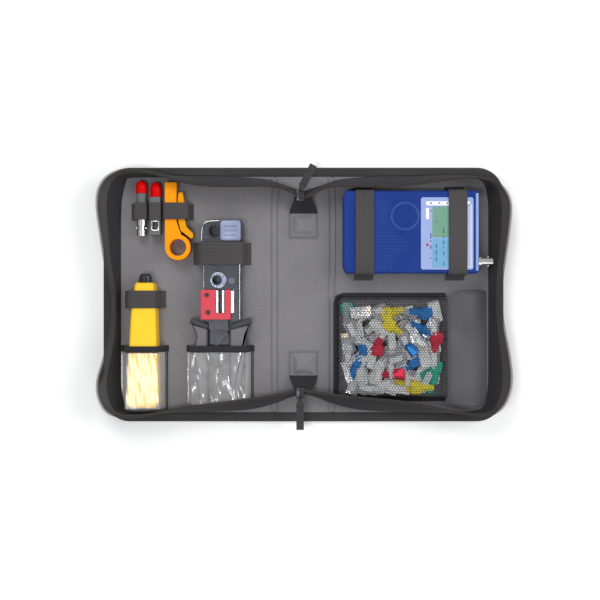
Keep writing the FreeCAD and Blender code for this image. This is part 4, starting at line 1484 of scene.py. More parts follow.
@dataclass
class Bands:
    """The elastic loops and straps that hold the tools down."""

    wall: float = 1.2

    def band(self, name: str, section: Sequence[Spot], low: float, high: float, body: str,
             node: str, along_x: bool = True) -> Solid:
        """One band that follows a section and is as wide as the gap between low and high.

        Args:
            name: The piece's name.
            section: Its run, as (place, height) pairs in millimetres.
            low: Its lower edge.
            high: Its upper edge.
            body: The body it rides on.
            node: The CAD node it stands for.
            along_x: Whether the run goes along X, or along Y.

        Returns:
            The band.
        """
        if along_x:
            points = [mm(x, low, z) for x, z in section]
            across = mm(0, high - low)
        else:
            points = [mm(low, y, z) for y, z in section]
            across = mm(high - low, 0)
        bm = strap_mesh(points, across)
        face_up(bm)
        band = piece(name, bm, ["elastic"], body, wall=self.wall * MM, bevel=0.0003)
        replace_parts(band, node)
        return band

    def foot(self, name: str, spots: Sequence[tuple[float, ...]], body: str, height: float) -> None:
        """Bar-tacks: short rows of thread across the bands' feet, as (x, y, x, y).

        Args:
            name: The piece's name.
            spots: The rows' ends.
            body: The body it rides on.
            height: The rows' height, in millimetres.
        """
        thread = None
        for x1, y1, x2, y2 in spots:
            thread = stitches(thread, [mm(x1, y1, height), mm(x2, y2, height)], 0.0015, 0.0012, 0.0006)
        piece(name, thread, ["thread"], body)

    def build(self) -> None:
        """Make every band."""
        self.loops()
        self.probe_strap()
        self.crimper_strap()
        self.tester_straps()

    def loops(self) -> None:
        """The row of loops over the remotes and the stripper."""
        low, high = 86.6, 105.8
        seams = (-197.3, -179.9, -163.4, -131.6)
        tops = (19.0, 19.0, 20.4)
        section = [(seams[0] - 3.4, 4.9), (seams[0] - 0.4, 4.9)]
        for left, right, top in zip(seams, seams[1:], tops):
            section += [(left + 0.5, 5.4), (left + 0.8, top - 1.5), (left + 3.0, top + 0.6),
                        ((left + right) / 2, top + 0.5), (right - 3.0, top + 0.6), (right - 0.8, top - 1.5),
                        (right - 0.5, 5.4)]
        section += [(seams[3] + 0.4, 4.9), (seams[3] + 3.4, 4.9)]
        self.band("elastic_loop_row", section, low, high, "left_cover", "elastic_loops")
        rows = [(x, low + 1.2, x, high - 1.2) for x in (seams[0] - 2, seams[3] + 2)]
        self.foot("elastic_loop_stitching", rows, "left_cover", 5.1)

    def probe_strap(self) -> None:
        """The strap over the probe's waist."""
        section = [(-208.5, 4.9), (-203.5, 4.9), (-202.6, 12), (-201.6, 26), (-200.4, 31.3), (-193, 31.6),
                   (-176, 31.6), (-169.2, 31.3), (-168, 26), (-166.6, 12), (-165.6, 4.9), (-160.5, 4.9)]
        self.band("probe_strap", section, -15.8, 4.4, "left_cover", "tool_straps")

    def crimper_strap(self) -> None:
        """The strap over the crimper's head."""
        section = [(-128.5, 4.9), (-123.6, 4.9), (-122.6, 14), (-120.6, 23.4), (-116, 24.6), (-96, 24.8),
                   (-74, 24.6), (-69.4, 23.4), (-67.4, 14), (-66.4, 4.9), (-61, 4.9)]
        self.band("crimper_strap", section, 34.6, 60.2, "left_cover", "tool_straps")

    def tester_straps(self) -> None:
        """The two straps over the tester."""
        for number, (low, high) in enumerate(((59.3, 80.6), (165.7, 187.0)), start=1):
            section = [(16.4, 4.9), (21.2, 4.9), (22.0, 14), (22.5, 27), (24.8, 30.7), (60, 30.9),
                       (100, 30.9), (118.4, 30.7), (120.4, 27), (120.8, 14), (121.4, 4.9), (126, 4.9)]
            self.band(f"tester_strap_{number}", section, low, high, "right_cover", "tester_straps", False)


@dataclass
class VinylPouch:
    """A clear pouch with a bound mouth: it stands over its tool and is stitched down on three sides."""

    name: str
    left: float
    right: float
    middle: float
    half_top: float
    half_low: float
    top: float
    mouth: float = -60.0
    end: float = -130.7
    ease: float = 7.0
    floor: float = 4.5
    dip: float = 0.0
    drop: float = 2.6
    ripple: float = 0.15
    crumple: float = 0.0

    def height(self, x: float, share: float) -> float:
        """The vinyl's height across the tool, with soft ripples.

        Args:
            x: The place along X, in millimetres.
            share: The share of the way from the mouth to the bottom.

        Returns:
            The height, in millimetres.
        """
        half = lerp(self.half_top, self.half_low, share)
        side = self.left if x < self.middle else self.right
        room = abs(side - self.middle) - half - 1.2
        off = (abs(x - self.middle) - half - 0.4) / max(room - 1.6, 1.0)
        rise = 1 - smooth(off)
        valley = self.dip * max(1 - ((x - self.middle) / (half * 0.55)) ** 2, 0)
        ripple = self.ripple * (math.sin(x * 0.42 + share * 5) + 0.8 * math.sin(x * 0.9 - share * 13 + 1))
        crumple = math.sin(x * 0.19 + share * 6.5 + 2) + 0.6 * math.sin(x * 0.33 - share * 9.5)
        ripple += self.crumple * crumple
        return self.floor + (self.top - self.floor - valley + ripple) * rise

    def place(self, u: float, v: float) -> Vector:
        """A point of the vinyl: u across, v from the mouth to the bottom.

        Args:
            u: The share of the way along, 0 to 1.
            v: The share of the way across, 0 to 1.

        Returns:
            The point.
        """
        x = lerp(self.left, self.right, u)
        lie = min(v / 0.8, 1.0)
        fall = smooth((v - 0.8) / 0.2)
        y = lerp(self.mouth, self.end, lie) - self.drop * smooth((v - 0.78) / 0.22)
        return mm(x, y, lerp(self.height(x, lie), self.floor, fall))

    def build(self, flat: Spot) -> None:
        """Make the vinyl, its bound mouth and its stitched edges.

        Args:
            flat: The cut sheet's size, in metres.
        """
        bm = lying(56, 60, self.place, flat)
        vinyl = piece(f"{self.name}_pouch", bm, ["clear_vinyl"], "left_cover")
        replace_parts(vinyl, "vinyl_pockets")

        def mouth(u: float, v: float) -> Vector:
            """A point of the band over the mouth.

            Args:
                u: The share of the way along, 0 to 1.
                v: The share of the way across, 0 to 1.

            Returns:
                The point.
            """
            x = lerp(self.left - 1.2, self.right + 1.2, u)
            z = self.height(min(max(x, self.left), self.right), 0.0)
            y = self.mouth + 0.8 - 7.6 * v
            return mm(x, y, z + 0.7 + 0.6 * math.sin(math.pi * v))

        band = lying(60, 8, mouth, (flat[0], 0.008))
        bound = piece(f"{self.name}_pouch_binding", band, ["pocket_binding"], "left_cover", wall=0.0013)

        def edge(u: float, v: float) -> Vector:
            """A point of the band down the right edge."""
            y = lerp(self.mouth - 5, self.end - 2.4, v)
            return mm(self.right - 2.6 + 2.8 * u, y, self.floor + 0.5)

        edges = lying(2, 30, edge, (0.0028, 0.07))
        piece(f"{self.name}_pouch_edge", edges, ["pocket_binding"], "left_cover", wall=0.0006)
        low = self.end - self.drop + 0.6
        line = [mm(self.right - 1.2, y, self.floor + 0.75) for y in (self.mouth - 6, low)]
        piece(f"{self.name}_pouch_stitching", stitches(None, line, 0.0026, 0.0018, 0.0006), ["light_thread"],
              "left_cover")


@dataclass
class MeshPocket:
    """The net pocket over the connectors, with its bound edge, and the flap that closes it."""

    left: float = 36.4
    right: float = 165.2
    low: float = -122.8
    high: float = 0.4
    top: float = 24.6
    floor: float = 4.6
    cell: float = 3.2
    corner: float = 12.0
    wire: float = 0.00064

    def lie(self, x: float, y: float) -> float:
        """The net's height over the heap: it rises from its stitched edges and follows the lumps.

        Args:
            x: The place along X, in millimetres.
            y: The place along Y, in millimetres.

        Returns:
            The height, in millimetres.
        """
        edge = min(x - self.left, y - self.low, self.high - y)
        rise = smooth(min(max(edge, 0.0) / 9.0, 1.0))
        lump = 0.7 * math.sin(x * 0.21 + 1) * math.sin(y * 0.24) + 0.4 * math.sin(x * 0.47 + y * 0.33)
        mouth = smooth((x - self.right + 14) / 14)
        return self.floor + (self.top - self.floor + lump - 2.0 * mouth) * rise

    def build(self) -> None:
        """Make the net, its binding and the flap."""
        net = self.net()
        binding = self.binding()
        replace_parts(net, "mesh_pocket")
        self.flap()

    def net(self) -> Solid:
        """The net: six-sided holes laid over the heap.

        Returns:
            The net.
        """
        bm = bmesh.new()
        radius = self.cell / math.sqrt(3)
        columns = int((self.right - self.left) / self.cell)
        rows = int((self.high - self.low) / (radius * 1.5))
        for row in range(rows):
            for column in range(columns):
                x = self.left + (column + 0.5 + 0.5 * (row % 2)) * self.cell
                y = self.low + (row + 0.7) * radius * 1.5
                spot = Matrix.Translation(mm(x, y)) @ Matrix.Rotation(QUARTER, 4, "Z")
                bmesh.ops.create_circle(bm, cap_ends=True, segments=6, radius=radius * MM, matrix=spot)
        bmesh.ops.remove_doubles(bm, verts=bm.verts, dist=0.3 * MM)
        for vert in bm.verts:
            x, y = vert.co.x / MM, vert.co.y / MM
            vert.co.z = self.lie(x, y) * MM
        obj = stand("mesh_pocket_net", bm)
        wires = obj.modifiers.new("wires", "WIREFRAME")
        wires.thickness = self.wire
        wires.use_even_offset = False
        wires.use_replace = True
        settle(obj)
        obj.data.materials.append(WARDROBE.get("mesh"))
        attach(obj, "right_cover")
        return obj

    def binding(self) -> Solid:
        """The cloth band stitched round the net's three closed sides.

        Returns:
            The band.
        """
        left, right, low, high = self.left, self.right, self.low, self.high
        corners = ((right, high), (left, high), (left, low), (right, low))
        line = self.rounded([mm(*corner) for corner in corners])

        def place(u: float, v: float) -> Vector:
            """A point of the band.

            Args:
                u: The share of the way along, 0 to 1.
                v: The share of the way across, 0 to 1.

            Returns:
                The point.
            """
            i = min(round(u * (len(line) - 1)), len(line) - 1)
            a, b = line[max(i - 1, 0)], line[min(i + 1, len(line) - 1)]
            side = UP.cross(b - a).normalized()
            point = line[i] + side * lerp(-1.6, 3.4, v) * MM
            point.z = (self.floor + 0.2 + 3.4 * smooth(v)) * MM
            return point

        bm = lying(len(line) - 1, 6, place, (0.38, 0.005))
        return piece("mesh_pocket_binding", bm, ["pocket_binding"], "right_cover", wall=0.0012)

    def rounded(self, route: Sequence[Vector]) -> list[Vector]:
        """A line through corner points, with its corners rounded.

        Args:
            route: The corner points.

        Returns:
            The line's points.
        """
        bm = bmesh.new()
        verts = [bm.verts.new(p) for p in route]
        for a, b in zip(verts, verts[1:]):
            bm.edges.new((a, b))
        bmesh.ops.bevel(bm, geom=verts[1:-1], offset=self.corner * MM, segments=8, profile=0.5,
                        affect="VERTICES", material=-1)
        bmesh.ops.subdivide_edges(bm, edges=[e for e in bm.edges if e.calc_length() > 0.05], cuts=14)
        bm.verts.ensure_lookup_table()
        start = min((v for v in bm.verts if len(v.link_edges) == 1), key=lambda v: (v.co - route[0]).length)
        line, last, here = [start.co.copy()], None, start
        while True:
            ahead = [e.other_vert(here) for e in here.link_edges if e.other_vert(here) is not last]
            if not ahead:
                break
            last, here = here, ahead[0]
            line.append(here.co.copy())
        bm.free()
        return line

    def flap(self) -> None:
        """The flap: a stitched leatherette leaf with two round corners, crowned by what lies under it."""
        left, right, low, high = 166.4, 212.6, -129.0, 3.6
        round_by = 13.0

        def place(u: float, v: float) -> Vector:
            """A point of the flap.

            Args:
                u: The share of the way along, 0 to 1.
                v: The share of the way across, 0 to 1.

            Returns:
                The point.
            """
            y = lerp(low, high, v)
            short = max(round_by - min(y - low, high - y), 0.0)
            cut = round_by - math.sqrt(max(round_by ** 2 - short ** 2, 0.0))
            x = lerp(left + cut, right, u)
            crown = math.sin(math.pi * min(u * 1.05, 1)) * (0.75 + 0.25 * math.sin(v * 9))
            rise = 7.6 * (1 - u) + 3.6 * crown
            sag = 2.4 * math.exp(-((v - 0.62) / 0.1) ** 2) * smooth(u * 2) * (1 - u) * 2
            return mm(x, y, 6.6 + rise - sag)

        bm = lying(36, 90, place, (0.048, 0.1326))
        flap = piece("mesh_pocket_flap", bm, ["flap_leatherette"], "flap", wall=0.0016, bevel=0.0004)
        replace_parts(flap, "pocket_flap")
        shares = [lerp(0.02, 0.98, i / 40) for i in range(41)]
        long_edge = [place(0.06 if 0.1 < v < 0.9 else 0.09, v) for v in reversed(shares)]
        top_edge = [place(1 - i / 10, 0.985) for i in range(9)]
        rim = top_edge + long_edge + [place((i + 1) / 10, 0.015) for i in range(9)]
        thread = stitches(None, [p + Vector((0, 0, 0.00015)) for p in rim], 0.0028, 0.002, 0.0006)
        piece("mesh_pocket_flap_stitching", thread, ["thread"], "flap")


# ------------------------------------------------------------------ the tools


@dataclass
class Connectors:
    """The heap of clear plugs and coloured boots in the net pocket."""

    net: MeshPocket
    left: float = 51.0
    right: float = 150.5
    low: float = -108.5
    high: float = -21.0
    columns: int = 7
    rows: int = 6
    layers: tuple[float, ...] = (9.2, 16.6)
    plug_scale: float = 1.1
    boot_scale: float = 1.28
    slack: float = 0.9
    scatter: float = 1.8
    steps: int = 16
    box: tuple[Spot, ...] = ((-10.9, 10.9), (-5.9, 5.9), (-3.6, 4.9))
    plug_size: Triple = (0.0215, 0.0117, 0.0066)
    latch_size: Triple = (0.014, 0.0058, 0.0011)
    contact_size: Triple = (0.0045, 0.00055, 0.0009)
    contacts: int = 8
    pitch: float = 1.1
    collar_size: Triple = (0.010, 0.0117, 0.0078)
    ribs: int = 4
    colours: tuple[tuple[str, tuple[tuple[int, int], ...]], ...] = (
        ("green", ((0, 0), (6, 4), (6, 5))),
        ("yellow", ((3, 0), (3, 1), (4, 5), (5, 5))),
        ("blue", ((5, 0), (5, 1), (5, 2), (0, 3), (0, 4), (5, 4))),
        ("red", ((6, 2), (2, 2), (3, 5))),
    )

    def build(self) -> None:
        """Lay the heap, layer by layer and row by row."""
        rng = random.Random(SEED)
        plugs, pins = bmesh.new(), bmesh.new()
        boots = {colour: bmesh.new() for colour, _ in self.colours}
        wanted = {cell: colour for colour, cells in self.colours for cell in cells}
        top = len(self.layers) - 1
        for level, row, column in product(range(top + 1), range(self.rows), range(self.columns)):
            colour = wanted.get((column, row)) if level == top else None
            seat = self.seat(rng, column, row, level)
            if colour:
                self.boot(boots[colour], self.settled(seat, self.boot_scale))
            else:
                # Some plugs take the darker copy of the clear plastic, more often in the rows nearest the
                # top: painted shade.
                dim = rng.random() < lerp(0.8, 0.1, row / (self.rows - 1))
                self.plug(plugs, pins, self.settled(seat, self.plug_scale), int(dim))
        heap = piece("plug_heap", plugs, ["clear_plastic", "shaded_plastic"], "right_cover", flat=True)
        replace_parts(heap, "modular_plugs")
        piece("plug_contacts", pins, ["gilt_metal"], "right_cover", flat=True)
        for colour, bm in boots.items():
            heap = piece(f"{colour}_boot_heap", bm, [f"{colour}_boot"], "right_cover")
            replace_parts(heap, f"{colour}_boots")

    def seat(self, rng: random.Random, column: int, row: int, level: int) -> Matrix:
        """Where one connector lies and how it is turned.

        Args:
            rng: The source of the random draws.
            column: The seat's column.
            row: The seat's row.
            level: The seat's layer.

        Returns:
            Its place and turn.
        """
        share = (column + 0.25 * (row % 2) * (1 if level else -1)) / (self.columns - 1)
        x = lerp(self.left, self.right, min(max(share, 0.0), 1.0))
        y = lerp(self.high, self.low, row / (self.rows - 1))
        height = self.layers[level]
        off_x, off_y = (rng.uniform(-self.scatter, self.scatter) for _ in range(2))
        at = mm(x + off_x, y + off_y, height + rng.uniform(-1.0, 1.0))
        heading = rng.uniform(0, math.tau)
        if column in (0, self.columns - 1):
            heading = math.pi / 2 + rng.uniform(-0.5, 0.5)
        elif row in (0, self.rows - 1):
            heading = rng.uniform(-0.5, 0.5) + rng.choice((0.0, math.pi))
        tip, roll = rng.gauss(0, 0.16), rng.choice((0.0, 0.0, math.pi, 1.35)) + rng.gauss(0, 0.2)
        turn = Matrix.Rotation(max(min(tip, 0.3), -0.3), 4, "Y") @ Matrix.Rotation(roll, 4, "X")
        return Matrix.Translation(at) @ Matrix.Rotation(heading, 4, "Z") @ turn

    def settled(self, seat: Matrix, scale: float) -> Matrix:
        """A seat scaled to its connector and moved until it lies under the net and on the lining.

        Args:
            seat: Where it lies and how it is turned.
            scale: Its scale.

        Returns:
            The settled seat.
        """
        scaled = seat @ Matrix.Scale(scale, 4)
        at = scaled.translation
        inward = (mm((self.left + self.right) / 2, (self.low + self.high) / 2, at.z / MM) - at).normalized()
        for step in range(self.steps):
            placed = Matrix.Translation(inward * step * MM) @ scaled
            corners = [placed @ mm(x, y, z) for x, y, z in product(*self.box)]
            over = max(c.z - (self.net.lie(c.x / MM, c.y / MM) - self.slack) * MM for c in corners)
            under = self.net.floor * MM - min(c.z for c in corners)
            if over + under <= 0:
                break
        shift = max(under, min(-over, 0.0))
        return Matrix.Translation((0, 0, shift)) @ placed

    def plug(self, plugs: Shape, pins: Shape, seat: Matrix, tone: int) -> None:
        """One clear plug: a body with a hollow back, a latch and eight gilt contacts.

        Args:
            plugs: The shape that holds the bodies.
            pins: The shape that holds the contacts.
            seat: Where it lies and how it is turned.
            tone: The index of its finish.
        """
        body = bmesh.new()
        bmesh.ops.create_cube(body, size=1.0, matrix=Matrix.Diagonal((*self.plug_size, 1)))
        back = min(body.faces, key=lambda f: f.calc_center_median().x)
        bmesh.ops.inset_region(body, faces=[back], thickness=0.0011)
        bmesh.ops.translate(body, vec=(0.011, 0, 0), verts=back.verts)
        front = max(body.faces, key=lambda f: f.calc_center_median().z)
        bmesh.ops.inset_region(body, faces=[front], thickness=0.0016)
        bmesh.ops.translate(body, vec=(0, 0, -0.0006), verts=front.verts)
        for face in body.faces:
            face.material_index = tone
        bmesh.ops.transform(body, matrix=seat, verts=body.verts)
        merge(plugs, body)
        latch = seat @ Matrix.Translation(mm(0, 0, 4.3)) @ Matrix.Rotation(math.radians(7), 4, "Y")
        block(self.latch_size, Vector(), 0.0, latch, plugs)
        for i in range(self.contacts):
            spot = seat @ Matrix.Translation(mm(8.4, (i - (self.contacts - 1) / 2) * self.pitch, -3.1))
            block(self.contact_size, Vector(), 0.0, spot, pins)

    def boot(self, bm: Shape, seat: Matrix) -> None:
        """One coloured boot: a square collar and a ribbed tail.

        Args:
            bm: The shape to add it to.
            seat: Where it lies and how it is turned.
        """
        block(self.collar_size, Vector(), 0.0012, seat @ Matrix.Translation(mm(5.4, 0)), bm)
        tail = seat @ Matrix.Translation(mm(-5.0, 0)) @ Matrix.Rotation(QUARTER, 4, "Y")
        drum(0.0030, 0.0118, Vector(), 0.0005, 14, tail, bm, 0.0042)
        for i in range(self.ribs):
            rib = seat @ Matrix.Translation(mm(-9.0 + 2.6 * i, 0)) @ Matrix.Rotation(QUARTER, 4, "Y")
            drum(0.0037 + 0.0002 * i, 0.0011, Vector(), 0.0002, 14, rib, bm)


@dataclass
class TesterTrim:
    """What is moulded and printed on the tester's top: ribs, a round mark, the label and its lamp."""

    top: float = 29.0
    rib_left: float = 81.4
    tip: Spot = (119.5, 56.6)
    least: float = 97.0
    pitch: float = 2.55
    rows: int = 31

    def build(self) -> None:
        """Make the trim."""
        self.ribs()
        self.round_mark()
        self.label()
        self.ends()

    def ribs(self) -> None:
        """Fine ribs whose ends draw an arrow, with a dot past each, in a lighter blue: a painted highlight
        along the ribs.
        """
        bm = bmesh.new()
        for i in range(self.rows):
            y = 29.5 + self.pitch * i
            end = max(self.tip[0] - abs(y - self.tip[1]) * 1.05, self.least)
            middle = mm((end + self.rib_left) / 2, y, self.top + 0.1)
            block(((end - self.rib_left) * MM, 0.0006, 0.0007), middle, 0.0002, into=bm, segments=1)
            drum(0.0006, 0.0007, mm(end + 2.2, y, self.top + 0.15), 0.0002, 10, into=bm)
        piece("tester_ribs", bm, ["blue_rib_highlight"], "tester")

    def round_mark(self) -> None:
        """The round raised rim, in the same lighter blue: a painted highlight on the rim."""
        at = mm(116.0, 89.4, self.top + 0.05)
        bm = ring(0.0158, 0.0007, at)
        ring(0.0144, 0.0004, at, into=bm)
        piece("tester_round_mark", bm, ["blue_rib_highlight"], "tester")

    def label(self) -> None:
        """The label's coloured panels and plain marks, none of them a letter."""
        z = self.top + 0.42
        self.panel("tester_label_border", [(134.4, 193.6, 28.8, 110.5)], "label_film", z, 0.12)
        for word, finish, boxes in (
                ("white", "label_white", [(140, 190, 101.8, 106.2), (139.8, 143.2, 86, 98.5)]),
                ("blue", "label_cyan", [(147, 184.5, 30.5, 64.2)]),
                ("green", "label_green", [(147, 184.5, 65.2, 100.6)]),
                ("scale", "label_pale", [(187.6, 192.6, 30.5, 103)])):
            self.panel(f"tester_label_{word}", boxes, finish, z + 0.1)
        rng = random.Random(SEED + 1)
        marks = [(144.6 + 9.2 * i, 106.2) for i in range(5)]
        boxes = [(x, x + 2.2, y - 2.8, y - 1.2) for x, y in marks]
        for x in (144.8, 151.0, 159.4):
            y = 33.0
            while y < 98:
                long = rng.uniform(1.2, 6.5)
                if rng.random() < 0.6:
                    boxes.append((x, x + 1.1, y, y + long))
                y += long + rng.uniform(1.4, 5.0)
        boxes += [(188.4, 190.0, 33 + 2.5 * i, 33.7 + 2.5 * i) for i in range(28)]
        self.panel("tester_label_marks", boxes, "label_ink", z + 0.2)
        lamp = drum(0.0014, 0.0012, mm(141.4, 56.6, z + 0.4), 0.0005, 16)
        piece("tester_lamp", lamp, ["red_rubber"], "tester")

    def panel(self, name: str, boxes: Sequence[tuple[float, ...]], finish: str, z: float,
              thick: float = 0.08) -> None:
        """Flat printed panels, as (left, right, low, high).

        Args:
            name: The piece's name.
            boxes: The panels' edges, in millimetres.
            finish: The finish's name.
            z: The height of the panels' foot, in millimetres.
            thick: Their thickness, in millimetres.
        """
        bm = bmesh.new()
        for left, right, low, high in boxes:
            corner = min(1.2, (right - left) * 0.2, (high - low) * 0.2)
            outline = [mm(x, y, z) for x, y in ((left, low), (right, low), (right, high), (left, high))]
            plate(outline, thick * MM, corner * MM, into=bm)
        piece(name, bm, [finish], "tester", flat=True)

    def ends(self) -> None:
        """The bevelled end, in a pale blue: painted light on the bevel's face."""
        turn = Matrix.Rotation(math.radians(9), 4, "Y")
        bevel = block((0.0032, 0.0885, 0.0008), mm(198.3, 71.4, 29.0), 0.0003, turn)
        piece("tester_end_bevel", bevel, ["tester_bevel_highlight"], "tester")


@dataclass
class CrimperTrim:
    """The crimper's die block and teeth, its bright edge as a painted highlight, its screws' heads and its
    moulded grips.
    """

    face: float = 21.0

    def build(self) -> None:
        """Make the trim."""
        self.die_block()
        self.cavities()
        self.edge()
        self.screws()
        self.grip("frame_grip_moulding", "crimper", "frame_grip",
                  [(-110.2, -126), (-120.2, -126), (-126.6, -62), (-123.4, -48), (-129.6, -32.6),
                   (-110.2, -38.6)],
                  (-130.4, -29.6), (-110.2, -37.4))
        self.grip("lever_grip_moulding", "crimper_handle", "lever_grip",
                  [(-85.3, -126), (-75.3, -126), (-65.4, -62), (-66.9, -48), (-60.6, -33.2), (-85.3, -38.6)],
                  (-60.0, -30.2), (-84.6, -37.8))

    def die_block(self) -> None:
        """The upper die: a block with three grooves across it, drawn as darker bars: painted shade in the
        grooves.
        """
        bm = block((0.0228, 0.0226, 0.0030), mm(-84.0, 73.5, 22.6), 0.0016)
        piece("upper_die_block", bm, ["die_metal"], "crimper")
        bars = bmesh.new()
        for y in (68.2, 73.4, 78.6):
            block((0.0138, 0.0011, 0.0009), mm(-84.2, y, 24.1), 0.0003, into=bars)
        piece("upper_die_grooves", bars, ["die_groove_shadow"], "crimper")

    def cavities(self) -> None:
        """The teeth round both die openings, the lower one's bright rim and the frame's rivets."""
        bm = bmesh.new()
        for count, start, step, x, y, z, radius, size, edge in (
                (9, 70, 25, -102.0, 73.4, self.face + 0.3, 7.6, (0.0030, 0.0016, 0.0012), 0.0003),
                (12, 0, 30, -99.6, 16.5, 22.2, 5.2, (0.0020, 0.0012, 0.0010), 0.0002)):
            for i in range(count):
                angle = math.radians(start + step * i)
                at = mm(x + radius * math.cos(angle), y + radius * math.sin(angle), z)
                block(size, at, edge, Matrix.Rotation(angle, 4, "Z"), bm)
        piece("die_teeth", bm, ["dark_steel"], "crimper")
        piece("lower_die_rim", ring(0.0084, 0.0006, mm(-98, 16.5, 22.3)), ["steel_edge_highlight"], "crimper")
        rivets = drum(0.0013, 0.0008, mm(-112.6, 66.4, self.face + 0.3), 0.0003, 14)
        for x, y in ((-112, 9.5), (-113.5, 22), (-80, 5.5)):
            drum(0.0012, 0.0008, mm(x, y, self.face + 0.3), 0.0003, 14, into=rivets)
        piece("crimper_rivets", rivets, ["bolt_steel"], "crimper")

    def edge(self) -> None:
        """The frame's bright edge, a painted highlight along its lit top corner and sides, and the ratchet's
        teeth.
        """
        corner = ((-117.4, 62), (-117.4, 75.5), (-114.8, 82.2), (-108.2, 84.8), (-97.2, 84.8))
        line = curve_through([mm(x, y, self.face) for x, y in corner], 8)
        # Thin bright steel beads on the frame's edges: painted highlight.
        bm = bead(line, 0.0005)
        bead([mm(-73.6, 33, 21.0), mm(-73.6, -27, 21.0)], 0.0006, bm)
        bead([mm(-114.9, 33, 21.0), mm(-114.9, 6, 21.0)], 0.0003, bm)
        piece("crimper_edge_highlight", bm, ["steel_edge_highlight"], "crimper")
        teeth = bmesh.new()
        for i in range(7):
            at = mm(-72.4, 31 - 3.3 * i, 17.5)
            block((0.0022, 0.0018, 0.0030), at, 0.0004, Matrix.Rotation(0.5, 4, "Z"), teeth)
        piece("ratchet_teeth", teeth, ["dark_steel"], "crimper")

    def screws(self) -> None:
        """The two guard screws' domed heads, each with a cross recess drawn as black bars: painted shade in
        the recess.
        """
        bm, cross = bmesh.new(), bmesh.new()
        for x, y in ((-110.8, -0.6), (-109.4, -20.5)):
            drum(0.0026, 0.0012, mm(x, y, 26.2), 0.0005, 22, into=bm)
            for angle in (0.6, 0.6 + math.pi / 2):
                block((0.0034, 0.0007, 0.0004), mm(x, y, 26.85), 0.0, Matrix.Rotation(angle, 4, "Z"), cross)
        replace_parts(piece("guard_screw_heads", bm, ["screw_black"], "crimper"), "guard_screws")
        # The black bars stand for the recesses' shade: painted shade.
        piece("guard_screw_recesses", cross, ["socket_black"], "crimper", flat=True)

    def grip(self, name: str, body: str, node: str, outline: Sequence[Spot],
             tip: Spot, root: Spot) -> None:
        """A moulded grip: a rounded body with a rolled ear at its top and a sunk matt top face in lighter
        grey, painted light on the lit top.

        Args:
            name: The piece's name.
            body: The body it rides on.
            node: The CAD node it stands for.
            outline: Its outline, in millimetres.
            tip: The ear's outer end.
            root: The ear's inner end.
        """
        bm = plate([mm(x, y, 5.0) for x, y in outline], 0.0148, 0.0018, 0.0016)
        a, b = mm(*tip, 19.4), mm(*root, 18.6)
        rod(a, b, 0.0036, bm, 18, bevel=0.0014)
        face = max((f for f in bm.faces if f.normal.z > 0.99), key=lambda f: f.calc_area())
        bmesh.ops.inset_region(bm, faces=[face], thickness=0.0014)
        # The sunk top face takes the lighter grey: painted light where the grip's top is lit.
        face.material_index = 1
        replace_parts(piece(name, bm, ["black_grip", "grip_lit_top"], body), node)


@dataclass
class ProbeTrim:
    """The probe's ring mark, the fine lines below its button and its tip collar."""

    def build(self) -> None:
        """Make the trim."""
        marks = ring(0.0019, 0.0003, mm(-175.8, -119.5, 30.0), segments=24)
        for i in range(5):
            at = mm(-183.2, -104.5 - 3.2 * i, 30.0)
            block((0.022, 0.0004, 0.0004), at, 0.0001, into=marks, segments=1)
        piece("probe_marks", marks, ["amber_plastic"], "probe")
        collar = ring(0.0078, 0.0009, mm(-182.4, 15.4, 17.0), Matrix.Rotation(QUARTER, 4, "X"))
        ring(0.0076, 0.0006, mm(-182.4, 18.4, 17.0), Matrix.Rotation(QUARTER, 4, "X"), collar)
        piece("probe_tip_collar", collar, ["black_tip"], "probe")


@dataclass
class RemoteTrim:
    """The remotes' plated frame and the rubber caps' ribs."""

    axis: float = 10.4

    def build(self) -> None:
        """Make the trim."""
        bm = bmesh.new()
        for x, y, wide, long in ((-171.4, 84.8, 8.2, 1.0), (-171.4, 74.2, 8.2, 1.0),
                                 (-175.2, 79.5, 1.0, 11.4), (-167.6, 79.5, 1.0, 11.4)):
            block((wide * MM, long * MM, 0.0009), mm(x, y, 16.4), 0.0002, into=bm)
        piece("modular_remote_frame", bm, ["plated_metal"], "modular_remote")
        for name, x, low in (("coax", -188.3, 118.6), ("modular", -171.4, 114.2)):
            bm = bmesh.new()
            for i in range(3):
                at = mm(x, low + 1.9 * i, self.axis)
                ring(0.0064, 0.0005, at, Matrix.Rotation(QUARTER, 4, "X"), bm, 28)
            piece(f"{name}_cap_ribs", bm, ["red_rubber"], f"{name}_remote")


# ------------------------------------------------------------------ the studio


@dataclass(frozen=True)
class Lamp:
    """A square soft light aimed at the case: its place and size in metres, its power in watts."""

    name: str
    at: Triple
    size: float
    watts: float

    def build(self) -> None:
        """Put the light in the scene."""
        lamp = bpy.data.objects.new(self.name, bpy.data.lights.new(self.name, "AREA"))
        lamp.data.energy = self.watts
        lamp.data.size = self.size
        lamp.location = self.at
        lamp.rotation_euler = (-Vector(self.at)).to_track_quat("-Z", "Y").to_euler()
        bpy.context.scene.collection.objects.link(lamp)


LAMPS = (
    Lamp("key", (-0.5, 1.15, 1.2), 0.9, 12.5),
    Lamp("fill_right", (1.5, 0.3, 1.1), 1.1, 18.0),
    Lamp("fill_front", (0.3, -1.4, 1.2), 1.1, 5.5),
    Lamp("sheen", (-0.385, -0.19, 1.2), 0.15, 2.2),
    Lamp("streak", (-0.2, -0.19, 1.2), 0.11, 1.8),
)


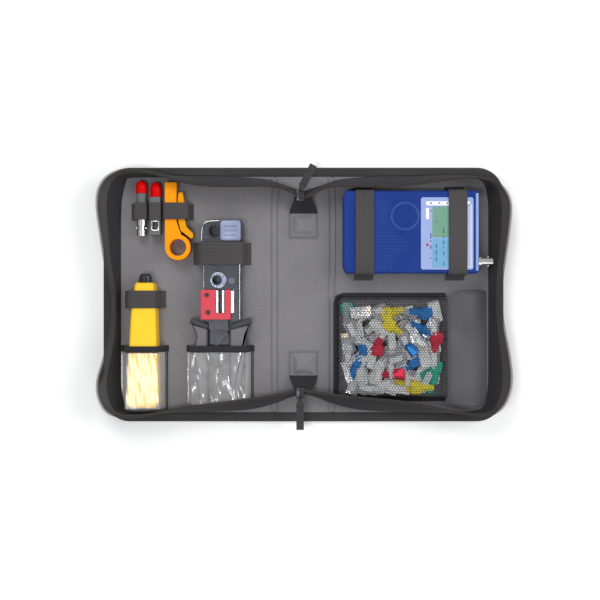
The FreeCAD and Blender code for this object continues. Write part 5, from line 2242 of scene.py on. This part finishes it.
@dataclass
class Studio:
    """The floor, the lights, the sky and the camera."""

    aim: Vector = field(default_factory=lambda: mm(-4.1, -6.4))
    height: float = 1.15
    angle: float = 34.0
    sky: float = 0.38

    def build(self) -> None:
        """Make the studio."""
        self.floor()
        for lamp in LAMPS:
            lamp.build()
        world = bpy.data.worlds.new("studio")
        world.use_nodes = True
        world.node_tree.nodes["Background"].inputs["Color"].default_value = (0.97, 0.98, 1.0, 1)
        world.node_tree.nodes["Background"].inputs["Strength"].default_value = self.sky
        bpy.context.scene.world = world
        bpy.context.scene.view_settings.view_transform = "Standard"
        camera = bpy.data.objects.new("camera", bpy.data.cameras.new("camera"))
        camera.location = (self.aim.x, self.aim.y, self.height)
        camera.data.angle = math.radians(self.angle)
        camera.data.clip_start = 0.01
        bpy.context.scene.collection.objects.link(camera)
        bpy.context.scene.camera = camera

    def floor(self) -> None:
        """The pale floor."""
        bm = bmesh.new()
        bmesh.ops.create_grid(bm, x_segments=2, y_segments=2, size=6.0)
        floor = stand("floor", bm)
        n = Nodes("floor")
        cloud = n.noise(n.place(Source.OBJECT), 3)
        floor.data.materials.append(n.finish(n.tint(cloud, (0.93, 0.93, 0.93), 0.01), Roughness=0.9))


def main() -> None:
    """Build every piece in order."""
    logging.basicConfig(level=logging.INFO, format="%(message)s")
    WARDROBE.dress_nodes()
    Studio().build()
    binding = EdgeBinding()
    for side in Side:
        binding.cover(side)
    binding.spine()
    Creases().build()
    for side, stations in ((Side.LEFT, LEFT_WALL), (Side.RIGHT, RIGHT_WALL)):
        GussetWall(side, stations).build()
    SpineTrim().build()
    ZipPulls().build()
    Bands().build()
    VinylPouch("probe", -212.5, -158.6, -184.2, 16.4, 18.8, 31.4, ripple=0.05).build((0.098, 0.098))
    VinylPouch("crimper", -135.2, -58.6, -97.7, 31.0, 30.5, 22.6, end=-127.0, dip=2.5, drop=1.6,
               crumple=0.45).build((0.106, 0.090))
    net = MeshPocket()
    net.build()
    Connectors(net).build()
    TesterTrim().build()
    CrimperTrim().build()
    ProbeTrim().build()
    RemoteTrim().build()


if __name__ == "__main__":
    main()
